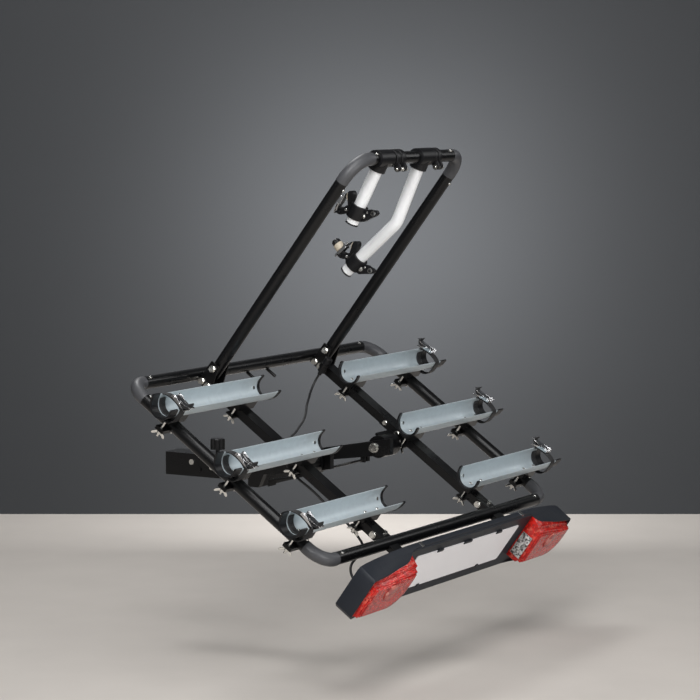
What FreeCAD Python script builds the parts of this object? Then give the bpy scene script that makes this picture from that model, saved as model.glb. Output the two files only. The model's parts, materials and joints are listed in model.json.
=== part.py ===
import FreeCAD, Part
import math
import os

os.makedirs("parts", exist_ok=True)
V = FreeCAD.Vector

# Origin at the centre of the tow ball, +X to the right seen from behind, +Y forward in the
# driving direction, +Z up. The rack hangs in its tilted pose, its platform sloping down to the rear.
# Pieces of the platform are drawn flat: x across, y forward from the front tube, z square to the
# platform. save_platform() then tilts them about x and moves them to their place.

# Driving sizes of the platform frame
tilt_deg = 35.4
front_tube_y = -222.0
front_tube_z = 270.0
tube_d = 30.0
tube_wall = 2.0
frame_width = 1112.0
frame_length = 632.0
elbow_bend = 48.0
elbow_straight = 5.0
elbow_proud = 0.6
spigot_gap = 0.1
spigot_length = 26.0
cross_screw_reach = 18.0
side_screw_reach = 8.0
screw_shank_d = 4.0
screw_head_d = 8.0
screw_head_h = 2.6

# Inner beams and their bolts
beam_x = 262.0
beam_w = 40.0
beam_h = 20.0
beam_wall = 2.0
beam_bolt_d = 8.0
side_bolt_from_rear = 35.0
top_bolt_from_rear = 24.0

# Wheel channels
channel_inner_x = 185.0
channel_past_side = 94.0
channel_half_w = 30.0
channel_wall = 1.5
channel_lip = 8.0
channel_under_z = 32.0
channel_first_y = -138.0
channel_last_from_rear = 78.0
scoop_r = 59.0
scoop_depth = 6.0
scoop_z = 44.0
trim_t = 2.4
trim_skin = 1.2
inner_trim_l = 8.0
outer_trim_l = 24.0
clamp_bolt_d = 6.0
clamp_bolt_dx = 28.0
clamp_plate_t = 4.0
clamp_plate_w = 24.0
clamp_edge = 7.0
clamp_wrap = 5.0
saddle_rise = 8.0
rivet_turn = 50.0
rivet_from_end = 30.0
wing_span = 34.0
wing_h = 13.0
wing_turns = (112, 95, 128, 118, 80, 104, 136, 122)

# Wheel straps and ratchet buckles
strap_w = 24.0
strap_t = 3.0
strap_past_side = 48.0
strap_top_z = 78.0
strap_overlap = 22.0
strap_straight = 22.5
strap_gap = 0.3
buckle_w = 28.0
buckle_l = 44.0
buckle_sheet = 2.0
buckle_side_h = 10.0
buckle_turn = 8.0
buckle_seat_l = 20.0
buckle_lift = 0.15
lever_l = 50.0
lever_pin_d = 5.0
lever_wall = 1.3

# Hoop
hoop_x = 260.0
hoop_y = -31.0
hoop_lean = 1.8
hoop_foot_z = 20.0
hoop_hinge_z = 42.0
hoop_top_z = 670.0
hoop_elbow_bend = 58.0
hoop_elbow_straight = 7.0
hoop_screw_reach = 14.0
bracket_t = 4.0
hinge_bolt_d = 8.0

# Holder arms
arm_d = 30.0
arm_wall = 2.0
short_arm_x = -143.0
short_arm_end = (-22.9, -171.4)
long_arm_x = 54.0
long_arm_bend = (-36.0, -171.0)
long_arm_end = (7.5, -352.3)
long_arm_bend_r = 60.0
arm_start = 21.5
saddle_w = 62.0
saddle_wall = 6.0
saddle_reach = 30.0
head_ring_wall = 6.5
head_h = 34.0
short_head_at = 141.0
long_head_at = 149.0
ear_w = 11.0
ear_hole_y = -42.0
ear_hole_z = 17.5
ear_hole_d = 9.0
jaw_w = 20.0
jaw_slot = 10.0
jaw_pin_y = 24.5
jaw_pin_z = -8.0
jaw_pin_d = 5.0

# Light board, in the platform's flat drawing
board_half = 504.0
board_behind = 59.0
board_depth = 18.0
hood_depth = 32.0
board_top_z = 53.0
board_end_top_z = 29.0
board_low_z = -113.0
board_end_low_z = -89.0
board_shoulder_x = 283.0
board_low_half = 318.0
board_wall = 3.0
plate_w = 520.0
plate_h = 110.0
plate_top_z = 25.0
plate_t = 1.5
plate_tab_x = 150.0
plate_tab_half = 14.0
plate_tab_h = 4.0
lens_in_x = 312.0
lens_low_z = -81.0
lens_corner_r = 62.0
lens_depth = 46.0
lens_taper = 9.0
bulb_apart = 76.0
bulb_z = -26.0
flange_w = 60.0
flange_t = 3.0
bracket_w = 40.0
board_bolt_dx = 25.0
lens_gap = 0.4
lens_wall = 2.5

# Drawbar and tilt pivot; the pivot is given in the platform's flat drawing
pivot_before_channel = 20.0
pivot_z_flat = -24.0
arm_x = 145.0
arm_t = 16.0
arm_behind = 45.0
arm_under_pivot = 14.6
arm_over_pivot = 25.4
arm_root_z = 21.0
arm_root_l = 15.0
cross_front_y = -287.0
cross_w = 30.0
cross_low_z = -12.0
cross_h = 40.0
beam_half = 30.0
beam_end_y = -92.0
bar_wall = 3.0
pivot_bolt_d = 12.0
run_gap = 0.05
drum_r = 28.0
drum_wall = 5.0
drum_end_t = 8.0
drum_gap = 3.0
drum_out_x = 224.0
web_rear = 4.0
web_length = 68.0
web_t = 6.0
rod_before_pivot = 36.0
rod_under_arm = 7.7
rod_r = 3.0
lug_t = 6.0
pawl_out = 22.0
pawl_t = 12.0
foot_l = 90.0
foot_z = 10.0
foot_w = 34.0

# Coupling
ball_r = 25.0
ball_gap = 0.3
housing_wall = 4.0
housing_top_z = 38.0
housing_low_z = -19.0
housing_back_y = -136.0
housing_front_y = 36.0
socket_block = 32.0
slot_top_z = 18.0
jaw_half = 12.5
jaw_hinge_y = -46.0
jaw_hinge_z = 17.0
jaw_low_z = -17.0
jaw_back_y = -54.9
pin_r = 4.0
lever_y = -68.0
lever_z = 0.0
lever_shaft_r = 6.0
lever_end_y = -240.0
handle_gap = 9.5
grip_r = 11.0
cam_start = 40.0
cam_throw = 5.0
cam_r = 9.0
knob_y = -101.0
knob_r = 18.5
knob_h = 27.0
knob_stand = 11.0
knob_stem_r = 5.0
knob_groove_out = 1.18
knob_groove_r = 6.0
beam_pin_ys = (-106.0, -124.0)
beam_pin_z = 8.0

# Light cable
cable_d = 6.0
plug_d = 20.0
plug_l = 42.0
plug_x = 218.5
plug_y = -62.0
plug_low_z = 0.0
collar_l = 9.0
holder_z = 12.0
holder_h = 12.0
holder_wall = 3.0

sides = ("right", "left")
rows = ("front", "middle", "rear")
tube_r = tube_d / 2
rear_y = -frame_length
side_x = frame_width / 2
channel_outer_x = side_x + channel_past_side
channel_pitch = (channel_first_y - rear_y - channel_last_from_rear) / 2
strap_x = side_x + strap_past_side
board_back_y = rear_y - board_behind
board_face_y = board_back_y - board_depth
hood_face_y = board_face_y - hood_depth
pivot_y_flat = channel_first_y - channel_pitch + pivot_before_channel
cos_t = math.cos(math.radians(tilt_deg))
sin_t = math.sin(math.radians(tilt_deg))


def save(name, shapes):
    shape = shapes if isinstance(shapes, Part.Shape) else Part.makeCompound(shapes)
    shape.exportStep("parts/" + name + ".step")


def tilted(shape):
    moved = shape.copy()
    moved.rotate(V(0, 0, 0), V(1, 0, 0), tilt_deg)
    moved.translate(V(0, front_tube_y, front_tube_z))
    return moved


def save_platform(name, shapes):
    shapes = [shapes] if isinstance(shapes, Part.Shape) else shapes
    shapes = [tilted(s) for s in shapes]
    save(name, shapes[0] if len(shapes) == 1 else shapes)


def box(x0, x1, y0, y1, z0, z1):
    return Part.makeBox(x1 - x0, y1 - y0, z1 - z0, V(x0, y0, z0))


def rod(a, b, r):
    a, b = V(*a), V(*b)
    return Part.makeCylinder(r, (b - a).Length, a, b - a)


def tube(a, b, r, wall):
    return rod(a, b, r).cut(rod(a, b, r - wall))


def hexagon(centre, direction, across, height):
    points = []
    for k in range(7):
        a = math.radians(60 * k)
        points.append(V(across / math.sqrt(3) * math.cos(a), across / math.sqrt(3) * math.sin(a), 0))
    solid = Part.Face(Part.makePolygon(points)).extrude(V(0, 0, height))
    turn = FreeCAD.Rotation(V(0, 0, 1), V(*direction))
    solid.Placement = FreeCAD.Placement(V(*centre), turn)
    return solid


def mirror_x(shape):
    return shape.mirror(V(0, 0, 0), V(1, 0, 0))


def on_side(shape, side):
    return shape if side == "right" else mirror_x(shape)


def profile(points, plane_x):
    """closed outline in the y, z plane at plane_x"""
    wire = Part.makePolygon([V(plane_x, y, z) for y, z in points + points[:1]])
    return Part.Face(wire)


def quarter(radius, r):
    """quarter torus: starts at (radius, 0) heading -X, ends at (0, radius) heading +Y"""
    circle = Part.Face(Part.Wire(Part.makeCircle(r, V(radius, 0, 0), V(1, 0, 0))))
    return circle.revolve(V(radius, radius, 0), V(0, 0, 1), -90)


def elbow(radius, straight, r_out, r_spigot, spigot):
    """elbow whose tubes would meet at the origin: one socket along +X, the other along +Y"""
    end = radius + straight
    body = quarter(radius, r_out)
    body = body.fuse(rod((radius, 0, 0), (end, 0, 0), r_out))
    body = body.fuse(rod((0, radius, 0), (0, end, 0), r_out))
    body = body.fuse(rod((end, 0, 0), (end + spigot, 0, 0), r_spigot))
    body = body.fuse(rod((0, end, 0), (0, end + spigot, 0), r_spigot))
    bore = quarter(radius, r_spigot - 3)
    bore = bore.fuse(rod((radius, 0, 0), (end + spigot, 0, 0), r_spigot - 3))
    bore = bore.fuse(rod((0, radius, 0), (0, end + spigot, 0), r_spigot - 3))
    return body.cut(bore).removeSplitter()


def pan_screw(at, direction, length):
    """pan head screw: the head sits at the point, the shank runs against the direction"""
    d = V(*direction).normalize()
    head = Part.makeCylinder(screw_head_d / 2, screw_head_h, V(*at), d)
    head = head.makeFillet(1.2, [head.Edges[0]])
    shank = Part.makeCylinder(screw_shank_d / 2, length, V(*at), -d)
    return head.fuse(shank).removeSplitter()


def hex_bolt(a, b, d, washer=True):
    """bolt from head at a to nut at b, with a washer under each"""
    a, b = V(*a), V(*b)
    axis = (b - a).normalize()
    across = 1.6 * d
    t = 1.6 if washer else 0.0
    solid = Part.makeCylinder(d / 2, (b - a).Length + 2 * t, a - axis * t, axis)
    head_h = 0.65 * d
    solid = solid.fuse(hexagon(tuple(a - axis * (t + head_h)), tuple(axis), across, head_h))
    solid = solid.fuse(hexagon(tuple(b + axis * t), tuple(axis), across, head_h * 1.2))
    if washer:
        solid = solid.fuse(Part.makeCylinder(1.05 * d, t, a - axis * t, axis))
        solid = solid.fuse(Part.makeCylinder(1.05 * d, t, b, axis))
    return solid.removeSplitter()


# Perimeter: four straight tubes, four plastic elbows, one screw at each joint
elbow_end = elbow_bend + elbow_straight
elbow_r = tube_r + elbow_proud
spigot_r = tube_r - tube_wall - spigot_gap
one_elbow = elbow(elbow_bend, elbow_straight, elbow_r, spigot_r, spigot_length)

front_tube = tube((-side_x + elbow_end, 0, 0), (side_x - elbow_end, 0, 0), tube_r, tube_wall)
rear_tube = tube((-side_x + elbow_end, rear_y, 0), (side_x - elbow_end, rear_y, 0), tube_r, tube_wall)
side_tubes = {}
for side, sign in (("left", -1), ("right", 1)):
    side_tubes[side] = tube((sign * side_x, rear_y + elbow_end, 0), (sign * side_x, -elbow_end, 0),
                            tube_r, tube_wall)

elbows = []
screws = []
cross_screw_at = elbow_end + cross_screw_reach
side_screw_at = elbow_end + side_screw_reach
for sx in (-1, 1):
    for end_y, turn in ((0, -1), (rear_y, 1)):
        piece = one_elbow.copy()
        if sx == 1:
            piece = mirror_x(piece)
        if turn == -1:
            piece = piece.mirror(V(0, 0, 0), V(0, 1, 0))
        piece.translate(V(sx * side_x, end_y, 0))
        elbows.append(piece)
        screws.append(pan_screw((sx * (side_x - cross_screw_at), end_y, tube_r), (0, 0, 1), 12))
        screws.append(pan_screw((sx * side_x, end_y + turn * side_screw_at, tube_r), (0, 0, 1), 12))

screw_holes = Part.makeCompound([rod((s.BoundBox.Center.x, s.BoundBox.Center.y, -1),
                                     (s.BoundBox.Center.x, s.BoundBox.Center.y, tube_r + 5),
                                     screw_shank_d / 2) for s in screws])
front_tube = front_tube.cut(screw_holes)
rear_tube = rear_tube.cut(screw_holes)
elbows = [e.cut(screw_holes) for e in elbows]

# two prongs welded under the front tube that straddle the drawbar when the platform is level
prong_r = 4.0
for px in (-46.0, 46.0):
    prong = rod((px, -6, -tube_r - 1.0), (px, -34, -tube_r - 1.0), prong_r)
    prong = prong.fuse(Part.makeSphere(prong_r, V(px, -34, -tube_r - 1.0)))
    prong = prong.cut(rod((px - 20, 0, 0), (px + 20, 0, 0), tube_r - 1.0))
    front_tube = front_tube.fuse(prong)
front_tube = front_tube.removeSplitter()

save_platform("front_tube", front_tube)
save_platform("side_tube_left", side_tubes["left"].cut(screw_holes))
save_platform("side_tube_right", side_tubes["right"].cut(screw_holes))
save_platform("frame_elbows", elbows)
save_platform("frame_screws", screws)

# Inner beams, flat rectangular tube from the front tube to the rear tube
beam_front_y = -4.0
beam_rear_y = rear_y + 4.0
bracket_bolts = []
for sx in (-1, 1):
    for y in (-24.0, -44.0):
        x = sx * beam_x
        half = beam_w / 2 + bracket_t
        bracket_bolts.append(hex_bolt((x - half, y, 0), (x + half, y, 0), hinge_bolt_d))
rear_bolts = []
for sx in (-1, 1):
    x = sx * beam_x
    y_side = rear_y + side_bolt_from_rear
    y_top = rear_y + top_bolt_from_rear - 2
    rear_bolts.append(hex_bolt((x - beam_w / 2, y_side, 0), (x + beam_w / 2, y_side, 0), beam_bolt_d))
    rear_bolts.append(hex_bolt((x + 9, y_top + 1, beam_h / 2), (x + 9, y_top + 1, -beam_h / 2), 6.0))
beams = {}
for side, sx in (("left", -1), ("right", 1)):
    x = sx * beam_x
    beam = box(x - beam_w / 2, x + beam_w / 2, beam_rear_y, beam_front_y, -beam_h / 2, beam_h / 2)
    hollow = box(x - beam_w / 2 + beam_wall, x + beam_w / 2 - beam_wall, beam_rear_y, beam_front_y,
                 -beam_h / 2 + beam_wall, beam_h / 2 - beam_wall)
    beam = beam.cut(hollow)
    for end_y in (0.0, rear_y):
        beam = beam.cut(rod((x - 60, end_y, 0), (x + 60, end_y, 0), tube_r))
    for bolt in bracket_bolts + rear_bolts:
        beam = beam.cut(bolt)
    beams[side] = beam

hinge_y = hoop_y - hoop_hinge_z * math.tan(math.radians(hoop_lean))

# Hoop brackets: two plates on each beam, bolted through it, holding the foot of each leg
plug_r = plug_d / 2


def plug_holder():
    """ring on the right inner plate that parks the plug"""
    face_x = beam_x - beam_w / 2 - bracket_t
    low, high = holder_z, holder_z + holder_h
    ring = rod((plug_x, plug_y, low), (plug_x, plug_y, high), plug_r + holder_wall)
    tab = box(plug_x, face_x, plug_y + 2, plug_y + 12, low, high)
    return ring.fuse(tab).cut(rod((plug_x, plug_y, low - 1), (plug_x, plug_y, high + 1), plug_r))


plates = []
for sx in (-1, 1):
    for face in (-1, 1):
        x0 = sx * beam_x + face * beam_w / 2
        x1 = x0 + face * bracket_t
        outline = [(-17, -9), (-17, 26), (-19, hoop_hinge_z + 14), (-42, hoop_hinge_z + 14),
                   (-56, 6), (-56, -9)]
        plate = profile(outline, min(x0, x1)).extrude(V(bracket_t, 0, 0))
        for bolt in bracket_bolts:
            plate = plate.cut(bolt)
        hinge = rod((x0 - 10, hinge_y, hoop_hinge_z), (x0 + 10, hinge_y, hoop_hinge_z), hinge_bolt_d / 2)
        plate = plate.cut(hinge)
        # a round spacer fills the space between the plate and the leg
        leg_face = sx * hoop_x + face * tube_r
        spacer = rod((x0, hinge_y, hoop_hinge_z), (leg_face + face * 0.4, hinge_y, hoop_hinge_z), 9.0)
        bore = rod((x0, hinge_y, hoop_hinge_z), (leg_face, hinge_y, hoop_hinge_z), hinge_bolt_d / 2)
        plate = plate.fuse(spacer.cut(hinge.fuse(bore)))
        if sx > 0 and face < 0:
            plate = plate.fuse(plug_holder())
        plates.append(plate.removeSplitter())
hinge_bolts = []
for sx in (-1, 1):
    half = beam_w / 2 + bracket_t
    hinge_bolts.append(hex_bolt((sx * beam_x - half, hinge_y, hoop_hinge_z),
                                (sx * beam_x + half, hinge_y, hoop_hinge_z), hinge_bolt_d))
save_platform("hoop_brackets", plates)

# Wheel channels, six alike: half-round trough with scooped ends
trough_r = channel_half_w
trough_z = channel_under_z + trough_r
lip_z = trough_z + channel_lip


def trough(r, x0, x1, y, top):
    body = rod((x0, y, trough_z), (x1, y, trough_z), r)
    lower = box(x0, x1, y - r, y + r, trough_z - r, trough_z)
    body = body.common(lower)
    return body.fuse(box(x0, x1, y - r, y + r, trough_z, top)).removeSplitter()


def scoops(y, reach_in, reach_out):
    """round cutters at the inner and the outer end, grown past the sheet's edge by the two reaches"""
    off = scoop_r - scoop_depth
    cuts = []
    for x, grow in ((channel_inner_x - off, reach_in), (channel_outer_x + off, reach_out)):
        cuts.append(rod((x, y - 60, scoop_z), (x, y + 60, scoop_z), scoop_r + grow))
    return cuts


def make_channel(y):
    body = trough(trough_r, channel_inner_x, channel_outer_x, y, lip_z)
    body = body.cut(trough(trough_r - channel_wall, channel_inner_x - 1, channel_outer_x + 1, y, lip_z + 1))
    for cut in scoops(y, 0.0, 0.0):
        body = body.cut(cut)
    for x in (beam_x, side_x):
        for dx in (-clamp_bolt_dx, clamp_bolt_dx):
            body = body.cut(rod((x + dx, y, 0), (x + dx, y, trough_z), clamp_bolt_d / 2))
    return body.removeSplitter()


def make_trims(y, channel):
    skin = trough(trough_r + trim_skin, channel_inner_x - 2, channel_outer_x + 2, y, lip_z + trim_t)
    skin = skin.cut(trough(trough_r - channel_wall - trim_skin, channel_inner_x - 3, channel_outer_x + 3, y,
                           lip_z + 9))
    trims = []
    rings = scoops(y, inner_trim_l, outer_trim_l)
    bores = scoops(y, -trim_t, -trim_t)
    for ring, bore in zip(rings, bores):
        trims.append(skin.common(ring.cut(bore)).cut(channel).removeSplitter())
    return trims


def make_clamp(x, y, half_h, round_seat, wing_turn):
    """saddle over the tube, strap plate under it, a wing nut bolt on the left, a hex bolt on the right"""
    reach = clamp_bolt_dx + clamp_edge
    half_w = clamp_plate_w / 2
    sink = clamp_wrap if round_seat else 0.0
    saddle = box(x - reach, x + reach, y - half_w, y + half_w, half_h - sink, channel_under_z + saddle_rise)
    saddle = saddle.cut(rod((x - 60, y, trough_z), (x + 60, y, trough_z), trough_r))
    plate = box(x - reach, x + reach, y - half_w, y + half_w, -half_h - clamp_plate_t, -half_h + sink)
    if round_seat:
        seat = rod((x, y - 40, 0), (x, y + 40, 0), tube_r)
        saddle = saddle.cut(seat)
        plate = plate.cut(seat)
    low = -half_h - clamp_plate_t
    floor_z = trough_z - (trough_r - channel_wall)
    bolts = []
    for dx in (-clamp_bolt_dx, clamp_bolt_dx):
        bx = x + dx
        hole = rod((bx, y, low - 20), (bx, y, trough_z), clamp_bolt_d / 2)
        saddle = saddle.cut(hole)
        plate = plate.cut(hole)
        bolt = rod((bx, y, low - 14), (bx, y, floor_z + 1), clamp_bolt_d / 2)
        head = Part.makeSphere(7.0, V(bx, y, floor_z - 3.6)).common(
            box(bx - 9, bx + 9, y - 9, y + 9, floor_z + 0.9, floor_z + 9))
        bolts.append(bolt.fuse(head).removeSplitter())
    bolts[1] = bolts[1].fuse(hexagon((x + clamp_bolt_dx, y, low), (0, 0, -1), 10.0, 5.0))
    bx = x - clamp_bolt_dx
    nut = rod((bx, y, low - 7), (bx, y, low), 5.5)
    wing = box(bx - wing_span / 2, bx + wing_span / 2, y - 1.5, y + 1.5, low - wing_h, low - 1.0)
    notch = rod((bx, y - 9, low - wing_h - 3), (bx, y + 9, low - wing_h - 3), 8.5)
    wing = wing.cut(notch)
    wing.rotate(V(bx, y, 0), V(0, 0, 1), wing_turn)
    nut = nut.fuse(wing)
    nut = nut.cut(rod((bx, y, low - 20), (bx, y, low + 1), clamp_bolt_d / 2)).removeSplitter()
    return saddle, plate, bolts, nut


saddles = []
clamp_plates = []
clamp_bolts = []
wing_nuts = []
trims = []
rivets = []
for k, row in enumerate(rows):
    y = channel_first_y - k * channel_pitch
    right = make_channel(y)
    ends = make_trims(y, right)
    angle = math.radians(rivet_turn)
    inner = trough_r - channel_wall
    inward = V(0, -math.sin(angle), math.cos(angle))
    foot = V(channel_inner_x + rivet_from_end, y, trough_z) - inward * inner
    rivet = Part.makeCylinder(2.0, channel_wall + 2, foot - inward * (channel_wall + 1), inward)
    rivet = rivet.fuse(Part.makeCylinder(4.2, 1.6, foot + inward * 0.3, inward))
    right = right.cut(Part.makeCylinder(2.0, 8, foot - inward * 4, inward))
    for side in sides:
        save_platform("wheel_channel_" + side + "_" + row, on_side(right, side))
        trims += [on_side(t, side) for t in ends]
        rivets.append(on_side(rivet, side))
        for x, half_h, round_seat in ((beam_x, beam_h / 2, False), (side_x, tube_r, True)):
            wing_turn = wing_turns[(4 * k + 2 * round_seat + (side == "left")) % len(wing_turns)]
            clamp_x = x if side == "right" else -x
            saddle, plate, bolts, nut = make_clamp(clamp_x, y, half_h, round_seat, wing_turn)
            saddles.append(saddle)
            clamp_plates.append(plate)
            clamp_bolts += bolts
            wing_nuts.append(nut)
save_platform("channel_trims", trims)
save_platform("channel_rivets", rivets)
save_platform("channel_saddles", saddles)
save_platform("clamp_plates", clamp_plates)
save_platform("clamp_bolts", clamp_bolts)
save_platform("wing_nuts", wing_nuts)


strap_foot_z = lip_z - strap_overlap
shoulder_z = strap_foot_z + strap_straight
strap_r = trough_r + strap_gap + strap_t


def arch(x0, x1, y, r_y, foot_z, top_z, t):
    """band over the channel: straight sides up to the shoulders, then a half ellipse"""
    shoulder = shoulder_z
    rise = top_z - shoulder
    pts_out = []
    pts_in = []
    for k in range(13):
        a = math.pi * k / 12
        pts_out.append(V(x0, y + r_y * math.cos(a), shoulder + rise * math.sin(a)))
        pts_in.append(V(x0, y + (r_y - t) * math.cos(a), shoulder + (rise - t) * math.sin(a)))
    curve_out = Part.BSplineCurve()
    curve_out.interpolate(pts_out)
    curve_in = Part.BSplineCurve()
    curve_in.interpolate(pts_in)
    a0, a1 = V(x0, y + r_y, foot_z), V(x0, y - r_y, foot_z)
    b0, b1 = V(x0, y + r_y - t, foot_z), V(x0, y - r_y + t, foot_z)
    wire = Part.Wire([Part.makeLine(a0, pts_out[0]), curve_out.toShape(), Part.makeLine(pts_out[-1], a1),
                      Part.makeLine(a1, b1), Part.makeLine(b1, pts_in[-1]), curve_in.toShape(),
                      Part.makeLine(pts_in[0], b0), Part.makeLine(b0, a0)])
    return Part.Face(wire).extrude(V(x1 - x0, 0, 0))


# Ratchet buckle in its own drawing: base on z = 0, long way along y, hinge pin at the y = 0 end
def make_buckle():
    half = buckle_w / 2
    base = box(-half, half, -4, buckle_l, 0, buckle_sheet)
    for s in (-1, 1):
        x0 = s * half
        cheek = profile([(-4, 0), (-4, buckle_side_h), (14, buckle_side_h), (buckle_l - 8, 6),
                         (buckle_l, buckle_sheet), (buckle_l, 0)], min(x0, x0 - s * buckle_sheet))
        base = base.fuse(cheek.extrude(V(buckle_sheet, 0, 0)))
    pin = rod((-half - 1, 3, buckle_side_h - 4), (half + 1, 3, buckle_side_h - 4), lever_pin_d / 2)
    return base.fuse(pin).removeSplitter()


def make_lever(width, length):
    half = width / 2
    z = buckle_side_h - 4
    knuckle = rod((-half, 3, z), (half, 3, z), lever_pin_d / 2 + lever_wall)
    blade = profile([(3, z + 1.5), (3, z + 4.4), (length * 0.62, z + 5.2), (length * 0.85, z + 7.4),
                     (length, z + 10.8), (length + 1.6, z + 9.0), (length * 0.87, z + 5.2),
                     (length * 0.64, z + 2.8)], -half).extrude(V(width, 0, 0))
    solid = knuckle.fuse(blade)
    solid = solid.cut(rod((-half - 1, 3, z), (half + 1, 3, z), lever_pin_d / 2 + run_gap))
    return solid.removeSplitter()


def seat_buckle(shape, at, turn):
    moved = shape.copy()
    moved.rotate(V(0, 0, 0), V(1, 0, 0), turn)
    moved.translate(V(*at))
    return moved


def turned_round(shape, y):
    moved = shape.copy()
    moved.rotate(V(strap_x, y, 0), V(0, 0, 1), 180)
    return moved


# the buckle's base is tangent to the top of the strap; its lever points to the rear on the left
# half and to the front on the right half, where the same strap is fitted the other way round
rise = strap_top_z - shoulder_z
slope = math.tan(math.radians(buckle_turn))
touch = math.atan2(rise, -strap_r * slope)
touch_y = strap_r * math.cos(touch)
touch_z = shoulder_z + rise * math.sin(touch)
seat_dy = touch_y + buckle_seat_l * math.cos(math.radians(buckle_turn))
seat_z = touch_z + buckle_seat_l * math.sin(math.radians(buckle_turn)) + buckle_lift
print("buckle seat", round(seat_dy, 4), round(seat_z, 4))
lever_w = buckle_w - 2 * buckle_sheet - 0.8
one_buckle = make_buckle()
one_lever = make_lever(lever_w, lever_l)
straps = []
buckles = []
for k, row in enumerate(rows):
    y = channel_first_y - k * channel_pitch
    strap = arch(strap_x - strap_w / 2, strap_x + strap_w / 2, y, strap_r, strap_foot_z, strap_top_z, strap_t)
    seat = (strap_x, y + seat_dy, seat_z)
    buckle = seat_buckle(one_buckle.mirror(V(0, 0, 0), V(0, 1, 0)), seat, buckle_turn)
    lever = seat_buckle(one_lever.mirror(V(0, 0, 0), V(0, 1, 0)), seat, buckle_turn)
    straps += [strap, mirror_x(strap)]
    buckles += [turned_round(buckle, y), mirror_x(buckle)]
    save_platform("buckle_lever_right_" + row, turned_round(lever, y))
    save_platform("buckle_lever_left_" + row, mirror_x(lever))
save_platform("wheel_straps", straps)
save_platform("strap_buckles", buckles)

# Hoop, drawn upright over its hinge line, then leaned and moved to its place
lean_cos = math.cos(math.radians(hoop_lean))
hoop_h = (hoop_top_z - hoop_hinge_z) / lean_cos
hoop_top_y = hinge_y - hoop_h * math.sin(math.radians(hoop_lean))
hoop_end = hoop_elbow_bend + hoop_elbow_straight


def stand(shape):
    moved = shape.copy()
    moved.rotate(V(0, 0, 0), V(1, 0, 0), hoop_lean)
    moved.translate(V(0, hinge_y, hoop_hinge_z))
    return moved


foot = hoop_foot_z - hoop_hinge_z
one_leg = tube((hoop_x, 0, foot), (hoop_x, 0, hoop_h - hoop_end), tube_r, tube_wall)
one_leg = one_leg.cut(rod((hoop_x - 30, 0, 0), (hoop_x + 30, 0, 0), hinge_bolt_d / 2 + run_gap))
hoop_elbow = elbow(hoop_elbow_bend, hoop_elbow_straight, elbow_r, spigot_r, spigot_length)
hoop_elbow.rotate(V(0, 0, 0), V(1, 0, 0), -90)
hoop_elbow = mirror_x(hoop_elbow)
hoop_elbow.translate(V(hoop_x, 0, hoop_h))
top_tube = tube((-hoop_x + hoop_end, 0, hoop_h), (hoop_x - hoop_end, 0, hoop_h), tube_r, tube_wall)
top_screw = pan_screw((hoop_x - hoop_end - hoop_screw_reach, 0, hoop_h + tube_r), (0, 0, 1), 12)
leg_screw = pan_screw((hoop_x, -tube_r, hoop_h - hoop_end - hoop_screw_reach), (0, -1, 0), 12)
leg_hole = rod((hoop_x, -30, hoop_h - hoop_end - hoop_screw_reach),
               (hoop_x, 0, hoop_h - hoop_end - hoop_screw_reach), screw_shank_d / 2)
top_hole = rod((hoop_x - hoop_end - hoop_screw_reach, 0, hoop_h),
               (hoop_x - hoop_end - hoop_screw_reach, 0, hoop_h + 30), screw_shank_d / 2)
one_leg = one_leg.cut(leg_hole)
hoop_elbow = hoop_elbow.cut(leg_hole).cut(top_hole)
top_tube = top_tube.cut(top_hole).cut(mirror_x(top_hole))
save_platform("hoop_legs", [stand(one_leg), stand(mirror_x(one_leg))])
save_platform("hoop_elbows", [stand(hoop_elbow), stand(mirror_x(hoop_elbow))])
save_platform("hoop_top_tube", stand(top_tube))
hoop_screws = [top_screw, leg_screw, mirror_x(top_screw), mirror_x(leg_screw)]
save_platform("hoop_screws", [stand(s) for s in hoop_screws])

# Holder arms: a saddle that turns on the top tube, a tube, and a head with a jaw that closes
arm_r = arm_d / 2


def point_on(a, b, distance):
    a, b = V(*a), V(*b)
    return a + (b - a).normalize() * distance


def make_saddle(direction):
    """split collar on the top tube with a socket for the arm, in the plane x = 0 of the tube axis"""
    r_out = tube_r + run_gap + saddle_wall
    body = rod((-saddle_w / 2, 0, 0), (saddle_w / 2, 0, 0), r_out)
    d = V(*direction).normalize()
    socket = Part.makeCylinder(arm_r + saddle_wall, saddle_reach, V(0, 0, 0), d)
    body = body.fuse(socket)
    body = body.cut(rod((-saddle_w, 0, 0), (saddle_w, 0, 0), tube_r + run_gap))
    body = body.cut(Part.makeCylinder(arm_r, saddle_reach, d * arm_start, d))
    return body.removeSplitter()


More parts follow.
